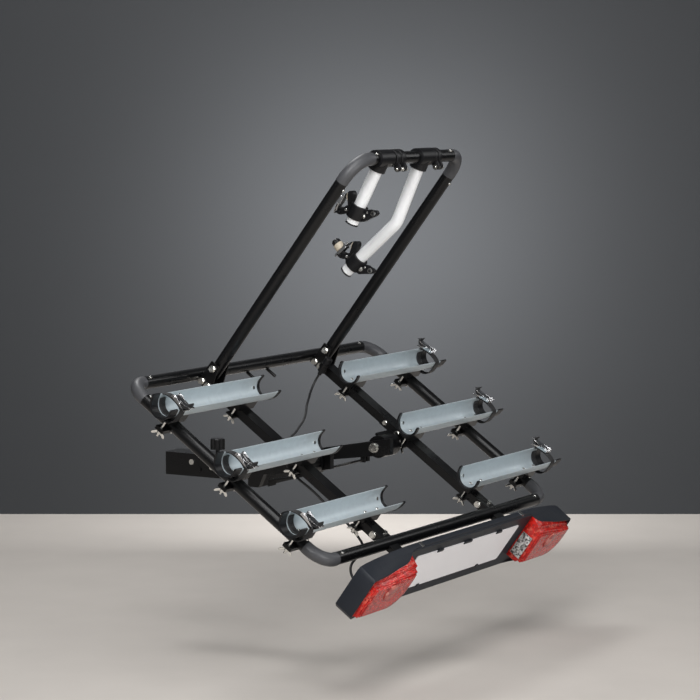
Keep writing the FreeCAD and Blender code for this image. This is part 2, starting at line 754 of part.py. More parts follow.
def make_head():
    """ring on the arm (its axis is z), an ear with a hole behind it and a fixed jaw in front"""
    half = head_h / 2
    ring = rod((0, 0, -half), (0, 0, half), arm_r + head_ring_wall)
    ear = profile([(-17, -14), (-17, 13.5), (-21, 15), (-28.5, 21.5), (-37, 24), (-47.5, 28.5), (-53.5, 23.5),
                   (-50, 14.5), (-40, 3), (-28.5, -12.5)], -ear_w / 2).extrude(V(ear_w, 0, 0))
    ear = ear.cut(rod((-ear_w, ear_hole_y, ear_hole_z), (ear_w, ear_hole_y, ear_hole_z), ear_hole_d / 2))
    fixed = profile([(17, 3), (17, 15.5), (23.5, 32), (29, 38), (36.5, 36.5), (38.5, 29), (35.5, 20.5),
                     (30, 13), (26, 4)], -jaw_w / 2).extrude(V(jaw_w, 0, 0))
    lugs = profile([(17, 2), (27, 5), (31, -2), (31, -11), (24, -16), (17, -16)], -jaw_w / 2)
    lugs = lugs.extrude(V(jaw_w, 0, 0))
    gap = box(-jaw_slot / 2, jaw_slot / 2, arm_r + 3.0, 60, -head_h, 5.0)
    body = ring.fuse(ear).fuse(fixed).fuse(lugs).cut(gap)
    body = body.fuse(rod((-jaw_w / 2 - 3, jaw_pin_y, jaw_pin_z), (jaw_w / 2 + 3, jaw_pin_y, jaw_pin_z),
                         jaw_pin_d / 2))
    body = body.cut(rod((0, 0, -head_h), (0, 0, 2 * head_h), arm_r + run_gap))
    return body.removeSplitter()


def make_jaw():
    """moving jaw, hinged on the head's cross pin, half open"""
    half = jaw_slot / 2 - 0.4
    knuckle = rod((-half, jaw_pin_y, jaw_pin_z), (half, jaw_pin_y, jaw_pin_z), jaw_pin_d / 2 + 3.2)
    blade = profile([(25, -12), (29, -6), (37, -12), (46.5, -16), (49, -21.5), (44, -30), (36, -28.5),
                     (27, -22)], -half).extrude(V(2 * half, 0, 0))
    jaw = knuckle.fuse(blade)
    jaw = jaw.cut(rod((-jaw_w, jaw_pin_y, jaw_pin_z), (jaw_w, jaw_pin_y, jaw_pin_z), jaw_pin_d / 2 + run_gap))
    return jaw.removeSplitter()


def on_arm(shape, x, a, b, distance):
    """place a head or jaw on the arm from a towards b, its z axis pointing back up the arm"""
    at = point_on((0,) + a, (0,) + b, distance)
    up = V(0, a[0] - b[0], a[1] - b[1])
    moved = shape.copy()
    moved.rotate(V(0, 0, 0), V(1, 0, 0), -math.degrees(math.atan2(up.y, up.z)))
    moved.translate(V(x, hoop_top_y + at.y, hoop_top_z + at.z))
    return moved


def at_top_tube(shape, x):
    moved = shape.copy()
    moved.translate(V(x, hoop_top_y, hoop_top_z))
    return moved


root_end = (0.0, 0.0)
short_arm = tube(tuple(point_on((0, 0, 0), (0,) + short_arm_end, arm_start)), (0,) + short_arm_end,
                 arm_r, arm_wall)
bend_point = (0,) + long_arm_bend
upper_start = point_on((0, 0, 0), bend_point, arm_start)
to_bend = V(*bend_point).normalize()
from_bend = (V(0, *long_arm_end) - V(*bend_point)).normalize()
half_turn = to_bend.getAngle(from_bend) / 2
cut_back = long_arm_bend_r * math.tan(half_turn)
bend_in = V(*bend_point) - to_bend * cut_back
bend_out = V(*bend_point) + from_bend * cut_back
bend_depth = long_arm_bend_r * (1 / math.cos(half_turn) - 1)
bend_mid = V(*bend_point) + (from_bend - to_bend).normalize() * bend_depth
arm_path = Part.Wire([Part.LineSegment(upper_start, bend_in).toShape(),
                      Part.Arc(bend_in, bend_mid, bend_out).toShape(),
                      Part.LineSegment(bend_out, V(0, *long_arm_end)).toShape()])


def swept(path, start, direction, radius):
    ring = Part.Wire(Part.makeCircle(radius, start, direction))
    return path.makePipeShell([ring], True, False)


long_arm = swept(arm_path, upper_start, to_bend, arm_r)
long_arm = long_arm.cut(swept(arm_path, upper_start, to_bend, arm_r - arm_wall))
head = make_head()
jaw = make_jaw()
save_platform("arm_short", at_top_tube(short_arm, short_arm_x))
save_platform("saddle_short", at_top_tube(make_saddle((0,) + short_arm_end), short_arm_x))
save_platform("head_short", on_arm(head, short_arm_x, root_end, short_arm_end, short_head_at))
save_platform("jaw_short", on_arm(jaw, short_arm_x, root_end, short_arm_end, short_head_at))
save_platform("arm_long", at_top_tube(long_arm, long_arm_x))
save_platform("saddle_long", at_top_tube(make_saddle(bend_point), long_arm_x))
save_platform("head_long", on_arm(head, long_arm_x, long_arm_bend, long_arm_end, long_head_at))
save_platform("jaw_long", on_arm(jaw, long_arm_x, long_arm_bend, long_arm_end, long_head_at))

# Light board: rimmed panel with a deep hood over and outside each lamp
corner_z = board_end_top_z
hood_slope = (board_top_z - board_end_top_z) / (board_half - board_shoulder_x)
board_outline = [(-board_half, board_end_low_z), (-board_half, corner_z), (-board_shoulder_x, board_top_z),
                 (board_shoulder_x, board_top_z), (board_half, corner_z), (board_half, board_end_low_z),
                 (board_low_half, board_low_z), (-board_low_half, board_low_z)]


def sheet(points, y0, y1):
    """outline in the x, z plane, from y0 to y1"""
    wire = Part.makePolygon([V(x, y0, z) for x, z in points + points[:1]])
    return Part.Face(wire).extrude(V(0, y1 - y0, 0))


def inset(points, amount):
    wire = Part.makePolygon([V(x, 0, z) for x, z in points + points[:1]])
    small = wire.makeOffset2D(-amount, 2)
    corners = [(v.Point.x, v.Point.z) for v in small.OrderedVertexes]
    return corners


inner_outline = inset(board_outline, board_wall)
board = sheet(board_outline, board_back_y, board_face_y)
board = board.cut(sheet(inner_outline, board_back_y + 1, board_face_y + board_wall))
for sx in (-1, 1):
    block = box(sx * beam_x - flange_w / 2, sx * beam_x + flange_w / 2, board_face_y, board_back_y, -20, 25)
    board = board.fuse(block)
    hood = [(board_shoulder_x, board_top_z), (board_half, corner_z), (board_half, board_end_low_z),
            (board_half - 14, board_end_low_z - 1.6), (board_half - 14, board_end_low_z + 1.4),
            (board_half - board_wall, board_end_low_z + 1.4), (board_half - board_wall, corner_z - 2.8),
            (board_shoulder_x, board_top_z - board_wall)]
    hood = sheet([(sx * x, z) for x, z in hood], board_face_y, hood_face_y)
    board = board.fuse(hood)
for x in (-plate_tab_x, 0.0, plate_tab_x):
    board = board.fuse(box(x - plate_tab_half, x + plate_tab_half, board_face_y - plate_t - 2, board_face_y,
                           plate_top_z, plate_top_z + plate_tab_h))
board = board.removeSplitter()

plate_low_z = plate_top_z - plate_h
plate = box(-plate_w / 2, plate_w / 2, board_face_y - plate_t, board_face_y, plate_low_z, plate_top_z)
plate = plate.makeFillet(8.0, [e for e in plate.Edges if abs(e.Length - plate_t) < 0.01])


def make_lens(x0, x1, z_in, z_out):
    """clear and red lamp cover: straight sides, one big round corner at the low right"""
    top = [V(x0, 0, z_in), V(x1, 0, z_out)]
    low = lens_low_z
    r = lens_corner_r
    edges = [Part.makeLine(top[0], top[1]), Part.makeLine(top[1], V(x1, 0, low + r)),
             Part.Arc(V(x1, 0, low + r), V(x1 - r + r * math.sqrt(0.5), 0, low + r - r * math.sqrt(0.5)),
                      V(x1 - r, 0, low)).toShape(),
             Part.makeLine(V(x1 - r, 0, low), V(x0, 0, low)), Part.makeLine(V(x0, 0, low), top[0])]
    outline = Part.Wire(edges)
    front = outline.makeOffset2D(-lens_taper)
    outline.translate(V(0, board_face_y, 0))
    front.translate(V(0, board_face_y - lens_depth, 0))
    outer = Part.makeLoft([outline, front], True, True)
    back_in = outline.makeOffset2D(-lens_wall)
    front_in = front.makeOffset2D(-lens_wall)
    back_in.translate(V(0, 1, 0))
    front_in.translate(V(0, lens_wall, 0))
    return outer.cut(Part.makeLoft([back_in, front_in], True, True))


lens_out = board_half - board_wall - lens_gap
hood_under = board_wall + lens_gap


def hood_z(x):
    return board_top_z - (abs(x) - board_shoulder_x) * hood_slope - hood_under


bulbs = []
for side in sides:
    x0, x1 = (lens_in_x, lens_out) if side == "right" else (-lens_out, -lens_in_x)
    save_platform("lens_" + side, make_lens(x0, x1, hood_z(x0), hood_z(x1)))
    for dx in (-bulb_apart / 2, bulb_apart / 2):
        x = (x0 + x1) / 2 + dx
        cup = rod((x, board_face_y, bulb_z), (x, board_face_y - 12, bulb_z), 10.0)
        glass = Part.makeSphere(8.0, V(x, board_face_y - 18, bulb_z))
        bulbs.append(cup.fuse(glass).removeSplitter())
save_platform("lamp_bulbs", bulbs)
save_platform("number_plate", plate)

# Brackets from the rear tube to the light board, with two bolts each into the board's blocks
brackets = []
flange_front_y = board_back_y + flange_t
for sx in (-1, 1):
    x = sx * beam_x
    web = box(x - bracket_w / 2, x + bracket_w / 2, board_back_y, rear_y - 8, -7, 7)
    flange = box(x - flange_w / 2, x + flange_w / 2, board_back_y, flange_front_y, -20, 25)
    bracket = web.fuse(flange).cut(rod((x - 60, rear_y, 0), (x + 60, rear_y, 0), tube_r))
    for dx in (-board_bolt_dx, board_bolt_dx):
        hole = rod((x + dx, flange_front_y + 20, 15), (x + dx, board_face_y - 20, 15), 2.5)
        bracket = bracket.cut(hole)
        shank = rod((x + dx, flange_front_y, 15), (x + dx, board_back_y - 10, 15), 2.5)
        head_part = hexagon((x + dx, flange_front_y, 15), (0, 1, 0), 8.0, 3.5)
        rear_bolts.append(shank.fuse(head_part).removeSplitter())
        board = board.cut(shank)
    brackets.append(bracket.removeSplitter())
save_platform("light_board", board.removeSplitter())
save_platform("board_brackets", brackets)
save_platform("rear_tube", rear_tube)
save_platform("beam_bolts", rear_bolts)

# Tilt pivot: a drum on the inner face of each beam, turning on a bolt held by the drawbar arm
drum_in_x = arm_x + arm_t / 2 + drum_gap
beam_face_x = beam_x - beam_w / 2
web_rear_y = pivot_y_flat - web_rear
web_front_y = web_rear_y + web_length
pivot = (pivot_y_flat, pivot_z_flat)
brackets = []
drum_bolts = []
for sx in (-1, 1):
    a, b = (drum_in_x, *pivot), (drum_out_x, *pivot)
    drum = rod(a, b, drum_r)
    drum = drum.cut(rod((drum_in_x + drum_end_t, *pivot), (drum_out_x + 1, *pivot), drum_r - drum_wall))
    drum = drum.cut(rod((drum_in_x - 1, *pivot), (drum_in_x + 20, *pivot), pivot_bolt_d / 2 + run_gap))
    drum = drum.cut(rod((drum_out_x - 5, *pivot), (drum_out_x + 1, *pivot), drum_r - drum_wall))
    side_plate = box(beam_face_x - bracket_t, beam_face_x, web_rear_y, web_front_y, -beam_h / 2, beam_h / 2)
    web = box(drum_in_x + drum_end_t, beam_face_x, web_rear_y, pivot_y_flat + drum_r, -web_t - 2, -2)
    web = web.cut(rod((drum_in_x, *pivot), (beam_face_x, *pivot), drum_r - drum_wall))
    drum = drum.fuse(side_plate).fuse(web)
    for y in (web_rear_y + 12, web_front_y - 14):
        bolt = hex_bolt((beam_face_x - bracket_t, y, 2), (beam_x + beam_w / 2, y, 2), 6.0)
        drum = drum.cut(bolt)
        bolt = bolt if sx > 0 else mirror_x(bolt)
        drum_bolts.append(bolt)
    drum = drum.removeSplitter()
    brackets.append(drum if sx > 0 else mirror_x(drum))
save_platform("pivot_brackets", brackets)
for bolt in drum_bolts:
    for side in beams:
        beams[side] = beams[side].cut(bolt)
save_platform("bracket_bolts", bracket_bolts + hinge_bolts + drum_bolts)
for side, beam in beams.items():
    save_platform("inner_beam_" + side, beam)

# Drawbar in the row frame: two arms, a cross bar and the centre beam into the coupling
pivot_y = front_tube_y + pivot_y_flat * cos_t - pivot_z_flat * sin_t
pivot_z = front_tube_z + pivot_y_flat * sin_t + pivot_z_flat * cos_t
arm_rear_y = pivot_y - arm_behind
cross_rear_y = cross_front_y - cross_w
arm_root_y = cross_rear_y - arm_root_l
arm_outline = [(arm_rear_y, pivot_z - arm_under_pivot), (arm_rear_y, pivot_z + arm_over_pivot),
               (cross_front_y, 44.8), (cross_front_y, cross_low_z), (cross_rear_y, cross_low_z),
               (arm_root_y, arm_root_z)]


def arm_low(y):
    along = (arm_root_y - y) / (arm_root_y - arm_rear_y)
    return arm_root_z + along * (pivot_z - arm_under_pivot - arm_root_z)


rod_y = pivot_y + rod_before_pivot
rod_z = arm_low(rod_y) - rod_under_arm
foot_front_y = rod_y + foot_l
print("release rod", round(rod_y, 4), round(rod_z, 4))
drawbar = box(-beam_half, beam_half, cross_front_y, beam_end_y, cross_low_z, cross_low_z + cross_h)
drawbar = drawbar.cut(box(-beam_half + bar_wall, beam_half - bar_wall, cross_front_y, beam_end_y,
                          cross_low_z + bar_wall, cross_low_z + cross_h - bar_wall))
drawbar = drawbar.fuse(box(-arm_x - arm_t / 2, arm_x + arm_t / 2, cross_rear_y, cross_front_y,
                           cross_low_z, cross_low_z + cross_h))
for sx in (-1, 1):
    arm = profile(arm_outline, sx * arm_x - arm_t / 2).extrude(V(arm_t, 0, 0))
    lug = box(sx * arm_x - lug_t / 2, sx * arm_x + lug_t / 2, rod_y - 6, rod_y + 6, rod_z - 6, rod_z + 14)
    drawbar = drawbar.fuse(arm).fuse(lug)
    hole = rod((sx * arm_x - 30, pivot_y, pivot_z), (sx * arm_x + 30, pivot_y, pivot_z), pivot_bolt_d / 2)
    drawbar = drawbar.cut(hole)
drawbar = drawbar.cut(rod((-arm_x - 30, rod_y, rod_z), (arm_x + 30, rod_y, rod_z), rod_r + run_gap))

pivot_bolts = []
for sx in (-1, 1):
    inside = sx * (arm_x - arm_t / 2)
    end = sx * (drum_in_x + drum_end_t + 14)
    bolt = rod((inside, pivot_y, pivot_z), (end, pivot_y, pivot_z), pivot_bolt_d / 2)
    washer = rod((inside, pivot_y, pivot_z), (inside - sx * 2.4, pivot_y, pivot_z), 13.0)
    head_part = hexagon((inside - sx * 2.4, pivot_y, pivot_z), (-sx, 0, 0), 19.0, 7.5)
    nut = hexagon((sx * (drum_in_x + drum_end_t + 0.4), pivot_y, pivot_z), (sx, 0, 0), 19.0, 10.0)
    pivot_bolts.append(bolt.fuse(washer).fuse(head_part).fuse(nut).removeSplitter())
save("pivot_bolts", pivot_bolts)

# Tilt release: a rod under both arms with a foot plate on the left and a pawl at each drum
release = rod((-arm_x - pawl_out, rod_y, rod_z), (arm_x + pawl_out, rod_y, rod_z), rod_r)
foot_plate = profile([(rod_y - 4, rod_z - 5), (rod_y + 4, rod_z - 1.5), (foot_front_y, foot_z),
                      (foot_front_y, foot_z - 16), (foot_front_y - 3, foot_z - 16),
                      (foot_front_y - 3, foot_z - 3)],
                     -arm_x - 16).extrude(V(foot_w, 0, 0))
release = release.fuse(foot_plate.cut(box(-arm_x - lug_t / 2 - 0.5, -arm_x + lug_t / 2 + 0.5, rod_y - 9,
                                          rod_y + 9, rod_z - 9, rod_z + 9)))
for sx in (-1, 1):
    x0 = sx * (arm_x + arm_t / 2 + drum_gap + 2)
    pawl = profile([(rod_y - 5, rod_z - 5), (rod_y + 5, rod_z - 5), (rod_y + 5, pivot_z + 3),
                    (pivot_y + drum_r + 0.5, pivot_z + 3), (pivot_y + drum_r + 0.5, pivot_z - 5),
                    (rod_y - 5, rod_z + 6)], min(x0, x0 + sx * pawl_t)).extrude(V(pawl_t, 0, 0))
    release = release.fuse(pawl)
save("tilt_release", release.removeSplitter())

# Coupling: a head bolted over the centre beam, with the ball socket and a slot for the jaw
head_half = beam_half + housing_wall
outer = box(-head_half, head_half, housing_back_y, housing_front_y, housing_low_z, housing_top_z)
cheeks = box(-beam_half, beam_half, housing_back_y, -socket_block, housing_low_z - 1, cross_low_z + cross_h)
housing = outer.cut(cheeks)
socket = Part.makeSphere(ball_r + ball_gap, V(0, 0, 0))
socket = socket.fuse(rod((0, 0, housing_low_z - 1), (0, 0, 0), ball_r + ball_gap))
housing = housing.cut(socket)
housing = housing.cut(box(-jaw_half - 0.5, jaw_half + 0.5, -socket_block - 1, 0,
                          housing_low_z - 1, slot_top_z))
housing = housing.makeFillet(6.0, [e for e in housing.Edges
                                   if abs(e.Length - (housing_top_z - housing_low_z)) < 0.01
                                   and e.BoundBox.YMin > housing_front_y - 1])

hinge_pin = rod((-head_half, jaw_hinge_y, jaw_hinge_z), (head_half, jaw_hinge_y, jaw_hinge_z), pin_r)
pins = []
for y, z in [(jaw_hinge_y, jaw_hinge_z)] + [(pin_y, beam_pin_z) for pin_y in beam_pin_ys]:
    pin = rod((-head_half, y, z), (head_half, y, z), pin_r)
    for sx in (-1, 1):
        pin = pin.fuse(rod((sx * head_half, y, z), (sx * (head_half + 3), y, z), pin_r + 3))
    pin = pin.removeSplitter()
    pins.append(pin)
    housing = housing.cut(pin)
drawbar = drawbar.cut(Part.makeCompound(pins[1:]))
save("coupling_pins", pins)

jaw_shape = profile([(jaw_hinge_y - 9, jaw_hinge_z), (jaw_hinge_y + 9, jaw_hinge_z), (-35.0, 6.0),
                     (-10.0, 2.0),
                     (-10.0, jaw_low_z), (-48.0, jaw_low_z), (jaw_back_y, -8.0), (jaw_back_y, 8.0)],
                    -jaw_half).extrude(V(2 * jaw_half, 0, 0))
jaw_shape = jaw_shape.fuse(rod((-jaw_half, jaw_hinge_y, jaw_hinge_z), (jaw_half, jaw_hinge_y, jaw_hinge_z),
                               9.0))
jaw_shape = jaw_shape.cut(Part.makeSphere(ball_r + ball_gap, V(0, 0, 0)))
jaw_shape = jaw_shape.cut(rod((0, 0, jaw_low_z - 1), (0, 0, 0), ball_r + ball_gap))
jaw_shape = jaw_shape.cut(rod((-head_half, jaw_hinge_y, jaw_hinge_z), (head_half, jaw_hinge_y, jaw_hinge_z),
                              pin_r + run_gap))
save("coupling_jaw", jaw_shape.removeSplitter())

handle_x = head_half + handle_gap
cam_turn = math.radians(cam_start)
cam_at = (lever_y + cam_throw * math.cos(cam_turn), lever_z - cam_throw * math.sin(cam_turn))
shaft = rod((-head_half - 3, lever_y, lever_z), (handle_x + 3, lever_y, lever_z), lever_shaft_r)
cam = rod((-jaw_half, *cam_at), (jaw_half, *cam_at), cam_r)
handle = profile([(lever_y + 11, lever_z - 10), (lever_y + 11, lever_z + 10), (lever_y - 40, lever_z + 13),
                  (lever_end_y, lever_z + 24), (lever_end_y - 6, lever_z + 12), (lever_y - 40, lever_z - 6)],
                 handle_x - 3).extrude(V(6.0, 0, 0))
grip = rod((handle_x, lever_end_y + 55, lever_z + 16.0), (handle_x, lever_end_y - 8, lever_z + 19.0), grip_r)
lever = shaft.fuse(cam).fuse(handle).fuse(grip).removeSplitter()
lever_bore = rod((-head_half - 5, lever_y, lever_z), (head_half + 5, lever_y, lever_z),
                 lever_shaft_r + run_gap)
housing = housing.cut(lever_bore)
save("coupling_lever", lever)

knob_floor = housing_top_z + knob_stand
stem = rod((0, knob_y, cross_low_z + cross_h + 0.5), (0, knob_y, knob_floor + 2), knob_stem_r)
knob = rod((0, knob_y, knob_floor), (0, knob_y, knob_floor + knob_h), knob_r)
knob = knob.makeFillet(4.0, [e for e in knob.Edges if e.BoundBox.ZMin > knob_floor + knob_h - 0.1])
for k in range(6):
    a = math.radians(60 * k)
    groove_x = knob_groove_out * knob_r * math.cos(a)
    groove_y = knob_y + knob_groove_out * knob_r * math.sin(a)
    knob = knob.cut(rod((groove_x, groove_y, knob_floor - 1), (groove_x, groove_y, knob_floor + knob_h + 1),
                        knob_groove_r))
save("coupling_knob", stem.fuse(knob).removeSplitter())
housing = housing.cut(rod((0, knob_y, 0), (0, knob_y, housing_top_z + 1), knob_stem_r + run_gap))
save("coupling_housing", housing.removeSplitter())
save("drawbar", drawbar.removeSplitter())

# Light cable, a free lead from the plug at the right beam to the left lamp, with its holder
cable_points = [(plug_x, plug_y, plug_low_z - collar_l), (plug_x, plug_y, -23.0), (215.0, -65.0, -37.0),
                (206.0, -71.0, -48.0), (191.0, -80.0, -53.0), (164.0, -96.0, -54.0), (110.0, -123.0, -47.0),
                (52.0, -158.0, -40.0), (0.0, -184.0, -36.0), (-56.0, -205.0, -27.0),
                (-118.0, -231.0, -16.0), (-170.0, -246.0, -12.0),
                (-212.0, -264.0, -18.0), (-240.0, -296.0, -34.0), (-251.0, -344.0, -39.0),
                (-246.0, -396.0, -37.0), (-252.0, -452.0, -38.0), (-247.0, -508.0, -38.0),
                (-258.0, -560.0, -40.0), (-288.0, -598.0, -35.0), (-334.0, -620.0, -27.0),
                (-384.0, -630.0, -23.0), (-424.0, -643.0, -26.0), (-446.0, -664.0, -31.0),
                (-453.0, -686.0, -33.0), (-453.0, board_face_y + board_wall, -33.0)]


def cord(points, d):
    """tube of straight runs joined by tangent arcs, the largest that the two runs allow"""
    pts = [V(*p) for p in points]
    edges = []
    radii = []
    start = pts[0]
    for before, at, after in zip(pts, pts[1:], pts[2:]):
        u = (at - before).normalize()
        w = (after - at).normalize()
        half = u.getAngle(w) / 2
        reach = 0.45 * min((at - before).Length, (after - at).Length)
        radius = reach / math.tan(half)
        a = at - u * reach
        b = at + w * reach
        mid = at + (w - u).normalize() * radius * (1 / math.cos(half) - 1)
        edges.append(Part.LineSegment(start, a).toShape())
        edges.append(Part.Arc(a, mid, b).toShape())
        radii.append(round(radius))
        start = b
    edges.append(Part.LineSegment(start, pts[-1]).toShape())
    path = Part.Wire(edges)
    solid = swept(path, pts[0], pts[1] - pts[0], d / 2)
    area = math.pi * d * d / 4
    print("cord length", round(path.Length, 1), "volume ratio", round(solid.Volume / (area * path.Length), 4))
    print("radii", radii)
    return solid


cable = cord(cable_points, cable_d)
save_platform("cable", cable)
collar = rod(cable_points[0], (plug_x, plug_y, plug_low_z), plug_r * 0.55)
shell = rod((plug_x, plug_y, plug_low_z), (plug_x, plug_y, plug_low_z + plug_l), plug_r)
shell = shell.makeFillet(2.0, [e for e in shell.Edges if e.BoundBox.ZMin > plug_low_z + plug_l - 0.1])
save_platform("plug", collar.fuse(shell).removeSplitter())
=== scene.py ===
import bpy
import bmesh
import json
import math
from mathutils import Matrix, Vector


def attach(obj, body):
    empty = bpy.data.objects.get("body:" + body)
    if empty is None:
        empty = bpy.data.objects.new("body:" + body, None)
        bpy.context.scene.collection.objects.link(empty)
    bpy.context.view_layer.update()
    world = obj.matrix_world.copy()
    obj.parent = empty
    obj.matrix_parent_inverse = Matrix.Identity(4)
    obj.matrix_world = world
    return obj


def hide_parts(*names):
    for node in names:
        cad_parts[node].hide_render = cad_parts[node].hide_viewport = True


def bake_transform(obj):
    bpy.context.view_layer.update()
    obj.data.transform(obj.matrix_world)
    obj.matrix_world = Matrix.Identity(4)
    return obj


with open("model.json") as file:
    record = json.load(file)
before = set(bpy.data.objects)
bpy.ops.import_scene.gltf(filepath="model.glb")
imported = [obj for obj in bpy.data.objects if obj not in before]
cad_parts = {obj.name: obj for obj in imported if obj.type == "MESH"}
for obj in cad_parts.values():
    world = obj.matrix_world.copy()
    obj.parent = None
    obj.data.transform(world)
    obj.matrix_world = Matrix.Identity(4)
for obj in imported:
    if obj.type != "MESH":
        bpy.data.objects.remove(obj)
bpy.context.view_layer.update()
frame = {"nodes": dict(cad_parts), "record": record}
nodes = frame["nodes"]
joints = {joint["name"]: joint for joint in frame["record"]["behaviour"]["joints"]}
print("frame loaded")

# The platform lies tilted: x across, y forward, z square to it, from the front tube
rack = {
    "tilt": math.radians(35.4),
    "frontTube": Vector((0.0, -0.222, 0.270)),
    "rows": ("front", "middle", "rear"),
    "channelY": (-0.138, -0.346, -0.554),
    "channelZ": 0.062,
}
onRack = Matrix.Translation(rack["frontTube"]) @ Matrix.Rotation(rack["tilt"], 4, "X")


def flat(x, y, z):
    return onRack @ Vector((x, y, z))


# Camera, lamps, floor and backdrop
view = {
    "eye": Vector((-5.623, -3.748, 0.955)),
    "look": Vector((0.8607, 0.4996, -0.0976)),
    "lens": 138.6,
    "sensor": 36.0,
    "clipEnd": 60.0,
    "floorZ": -0.42,
    "floorSize": 40.0,
    "floorPaint": {"colour": (0.55, 0.51, 0.47), "roughness": 0.75, "scale": 6.0},
    "wallAt": 8.64,
    "wallZ": 5.0,
    "wallSize": 30.0,
    "wallPaint": {"colour": (0.034, 0.0362, 0.0394), "roughness": 0.9, "scale": 1.5},
    "worldColour": (0.92, 0.96, 1.0, 1.0),
    "worldLight": 0.20,
    "lamps": (
        ("topSoft", (-1.6, -1.5, 2.9), (-0.2, -0.5, 0.2), 2.0, 54.0),
        ("cameraSoft", (-4.4, -2.0, 2.5), (0.0, -0.3, 0.4), 2.0, 138.0),
        ("rearSoft", (-1.5, -4.4, 0.70), (0.0, -0.7, 0.0), 1.5, 60.0),
        ("sideSoft", (3.0, -2.6, 1.9), (0.0, -0.5, 0.3), 1.5, 14.0),
        ("edgeSoft", (1.0, 1.1, 2.9), (0.0, -0.3, 0.4), 0.9, 36.0),
        ("wallGlow", (1.30, 0.16, 0.50), (1.82, 0.46, 0.45), 0.7, 19.0),
    ),
}


def makeStage():
    scene = bpy.context.scene
    camera = bpy.data.objects.new("camera", bpy.data.cameras.new("camera"))
    scene.collection.objects.link(camera)
    camera.location = view["eye"]
    camera.rotation_euler = view["look"].to_track_quat("-Z", "Y").to_euler()
    camera.data.lens = view["lens"]
    camera.data.sensor_width = view["sensor"]
    camera.data.clip_end = view["clipEnd"]
    scene.camera = camera
    scene.view_settings.view_transform = "Standard"
    bpy.ops.mesh.primitive_plane_add(size=view["floorSize"], location=(0, 0, view["floorZ"]))
    floor = bpy.context.object
    floor.name = "floor"
    floor.data.materials.append(plainSurface("floorPaint", **view["floorPaint"]))
    at = view["eye"] + view["look"].normalized() * view["wallAt"]
    bpy.ops.mesh.primitive_plane_add(size=view["wallSize"], location=(at.x, at.y, view["wallZ"]))
    wall = bpy.context.object
    wall.name = "backdrop"
    wall.rotation_euler = (math.pi / 2, 0, math.atan2(view["look"].y, view["look"].x) - math.pi / 2)
    wall.data.materials.append(openFromBehind(plainSurface("wallPaint", **view["wallPaint"])))
    world = bpy.data.worlds.new("studio")
    scene.world = world
    world.use_nodes = True
    setInputs(world.node_tree.nodes["Background"], {0: view["worldColour"], 1: view["worldLight"]})
    for name, place, aim, size, power in view["lamps"]:
        light = bpy.data.objects.new(name, bpy.data.lights.new(name, "AREA"))
        scene.collection.objects.link(light)
        light.location = place
        light.rotation_euler = (Vector(aim) - Vector(place)).to_track_quat("-Z", "Y").to_euler()
        light.data.size = size
        light.data.energy = power
        light.visible_camera = False
    print("camera and light set")


# Shader groups shared by the finishes
def startGroup(name, inputs, outputs):
    tree = bpy.data.node_groups.new(name, "ShaderNodeTree")
    for label, kind, value in inputs:
        socket = tree.interface.new_socket(label, in_out="INPUT", socket_type=kind)
        if value is not None:
            socket.default_value = value
    for label, kind in outputs:
        tree.interface.new_socket(label, in_out="OUTPUT", socket_type=kind)
    return tree, tree.nodes.new("NodeGroupInput"), tree.nodes.new("NodeGroupOutput")


def setInputs(node, values):
    for key, value in values.items():
        node.inputs[key].default_value = value
    return node


def addNode(tree, kind, inputs=None, **values):
    node = tree.nodes.new(kind)
    for key, value in values.items():
        setattr(node, key, value)
    return setInputs(node, inputs or {})


def mixColours(tree, first=None, second=None):
    given = {key: (*colour, 1) for key, colour in ((6, first), (7, second)) if colour}
    return addNode(tree, "ShaderNodeMix", given, data_type="RGBA")


def makeGrainGroup():
    tree, given, out = startGroup(
        "surfaceGrain",
        [("Vector", "NodeSocketVector", None), ("Scale", "NodeSocketFloat", 900.0),
         ("Roughness", "NodeSocketFloat", 0.4), ("Spread", "NodeSocketFloat", 0.1)],
        [("Height", "NodeSocketFloat"), ("Roughness", "NodeSocketFloat")])
    fine = addNode(tree, "ShaderNodeTexNoise", {"Detail": 3.0})
    broad = addNode(tree, "ShaderNodeTexNoise", {"Scale": 14.0, "Detail": 4.0})
    centre = addNode(tree, "ShaderNodeMath", {1: 0.5}, operation="SUBTRACT")
    spread = addNode(tree, "ShaderNodeMath", operation="MULTIPLY")
    total = addNode(tree, "ShaderNodeMath", operation="ADD")
    link = tree.links.new
    link(given.outputs["Vector"], fine.inputs["Vector"])
    link(given.outputs["Scale"], fine.inputs["Scale"])
    link(given.outputs["Vector"], broad.inputs["Vector"])
    link(broad.outputs["Fac"], centre.inputs[0])
    link(centre.outputs[0], spread.inputs[0])
    link(given.outputs["Spread"], spread.inputs[1])
    link(spread.outputs[0], total.inputs[0])
    link(given.outputs["Roughness"], total.inputs[1])
    link(fine.outputs["Fac"], out.inputs["Height"])
    link(total.outputs[0], out.inputs["Roughness"])
    return tree


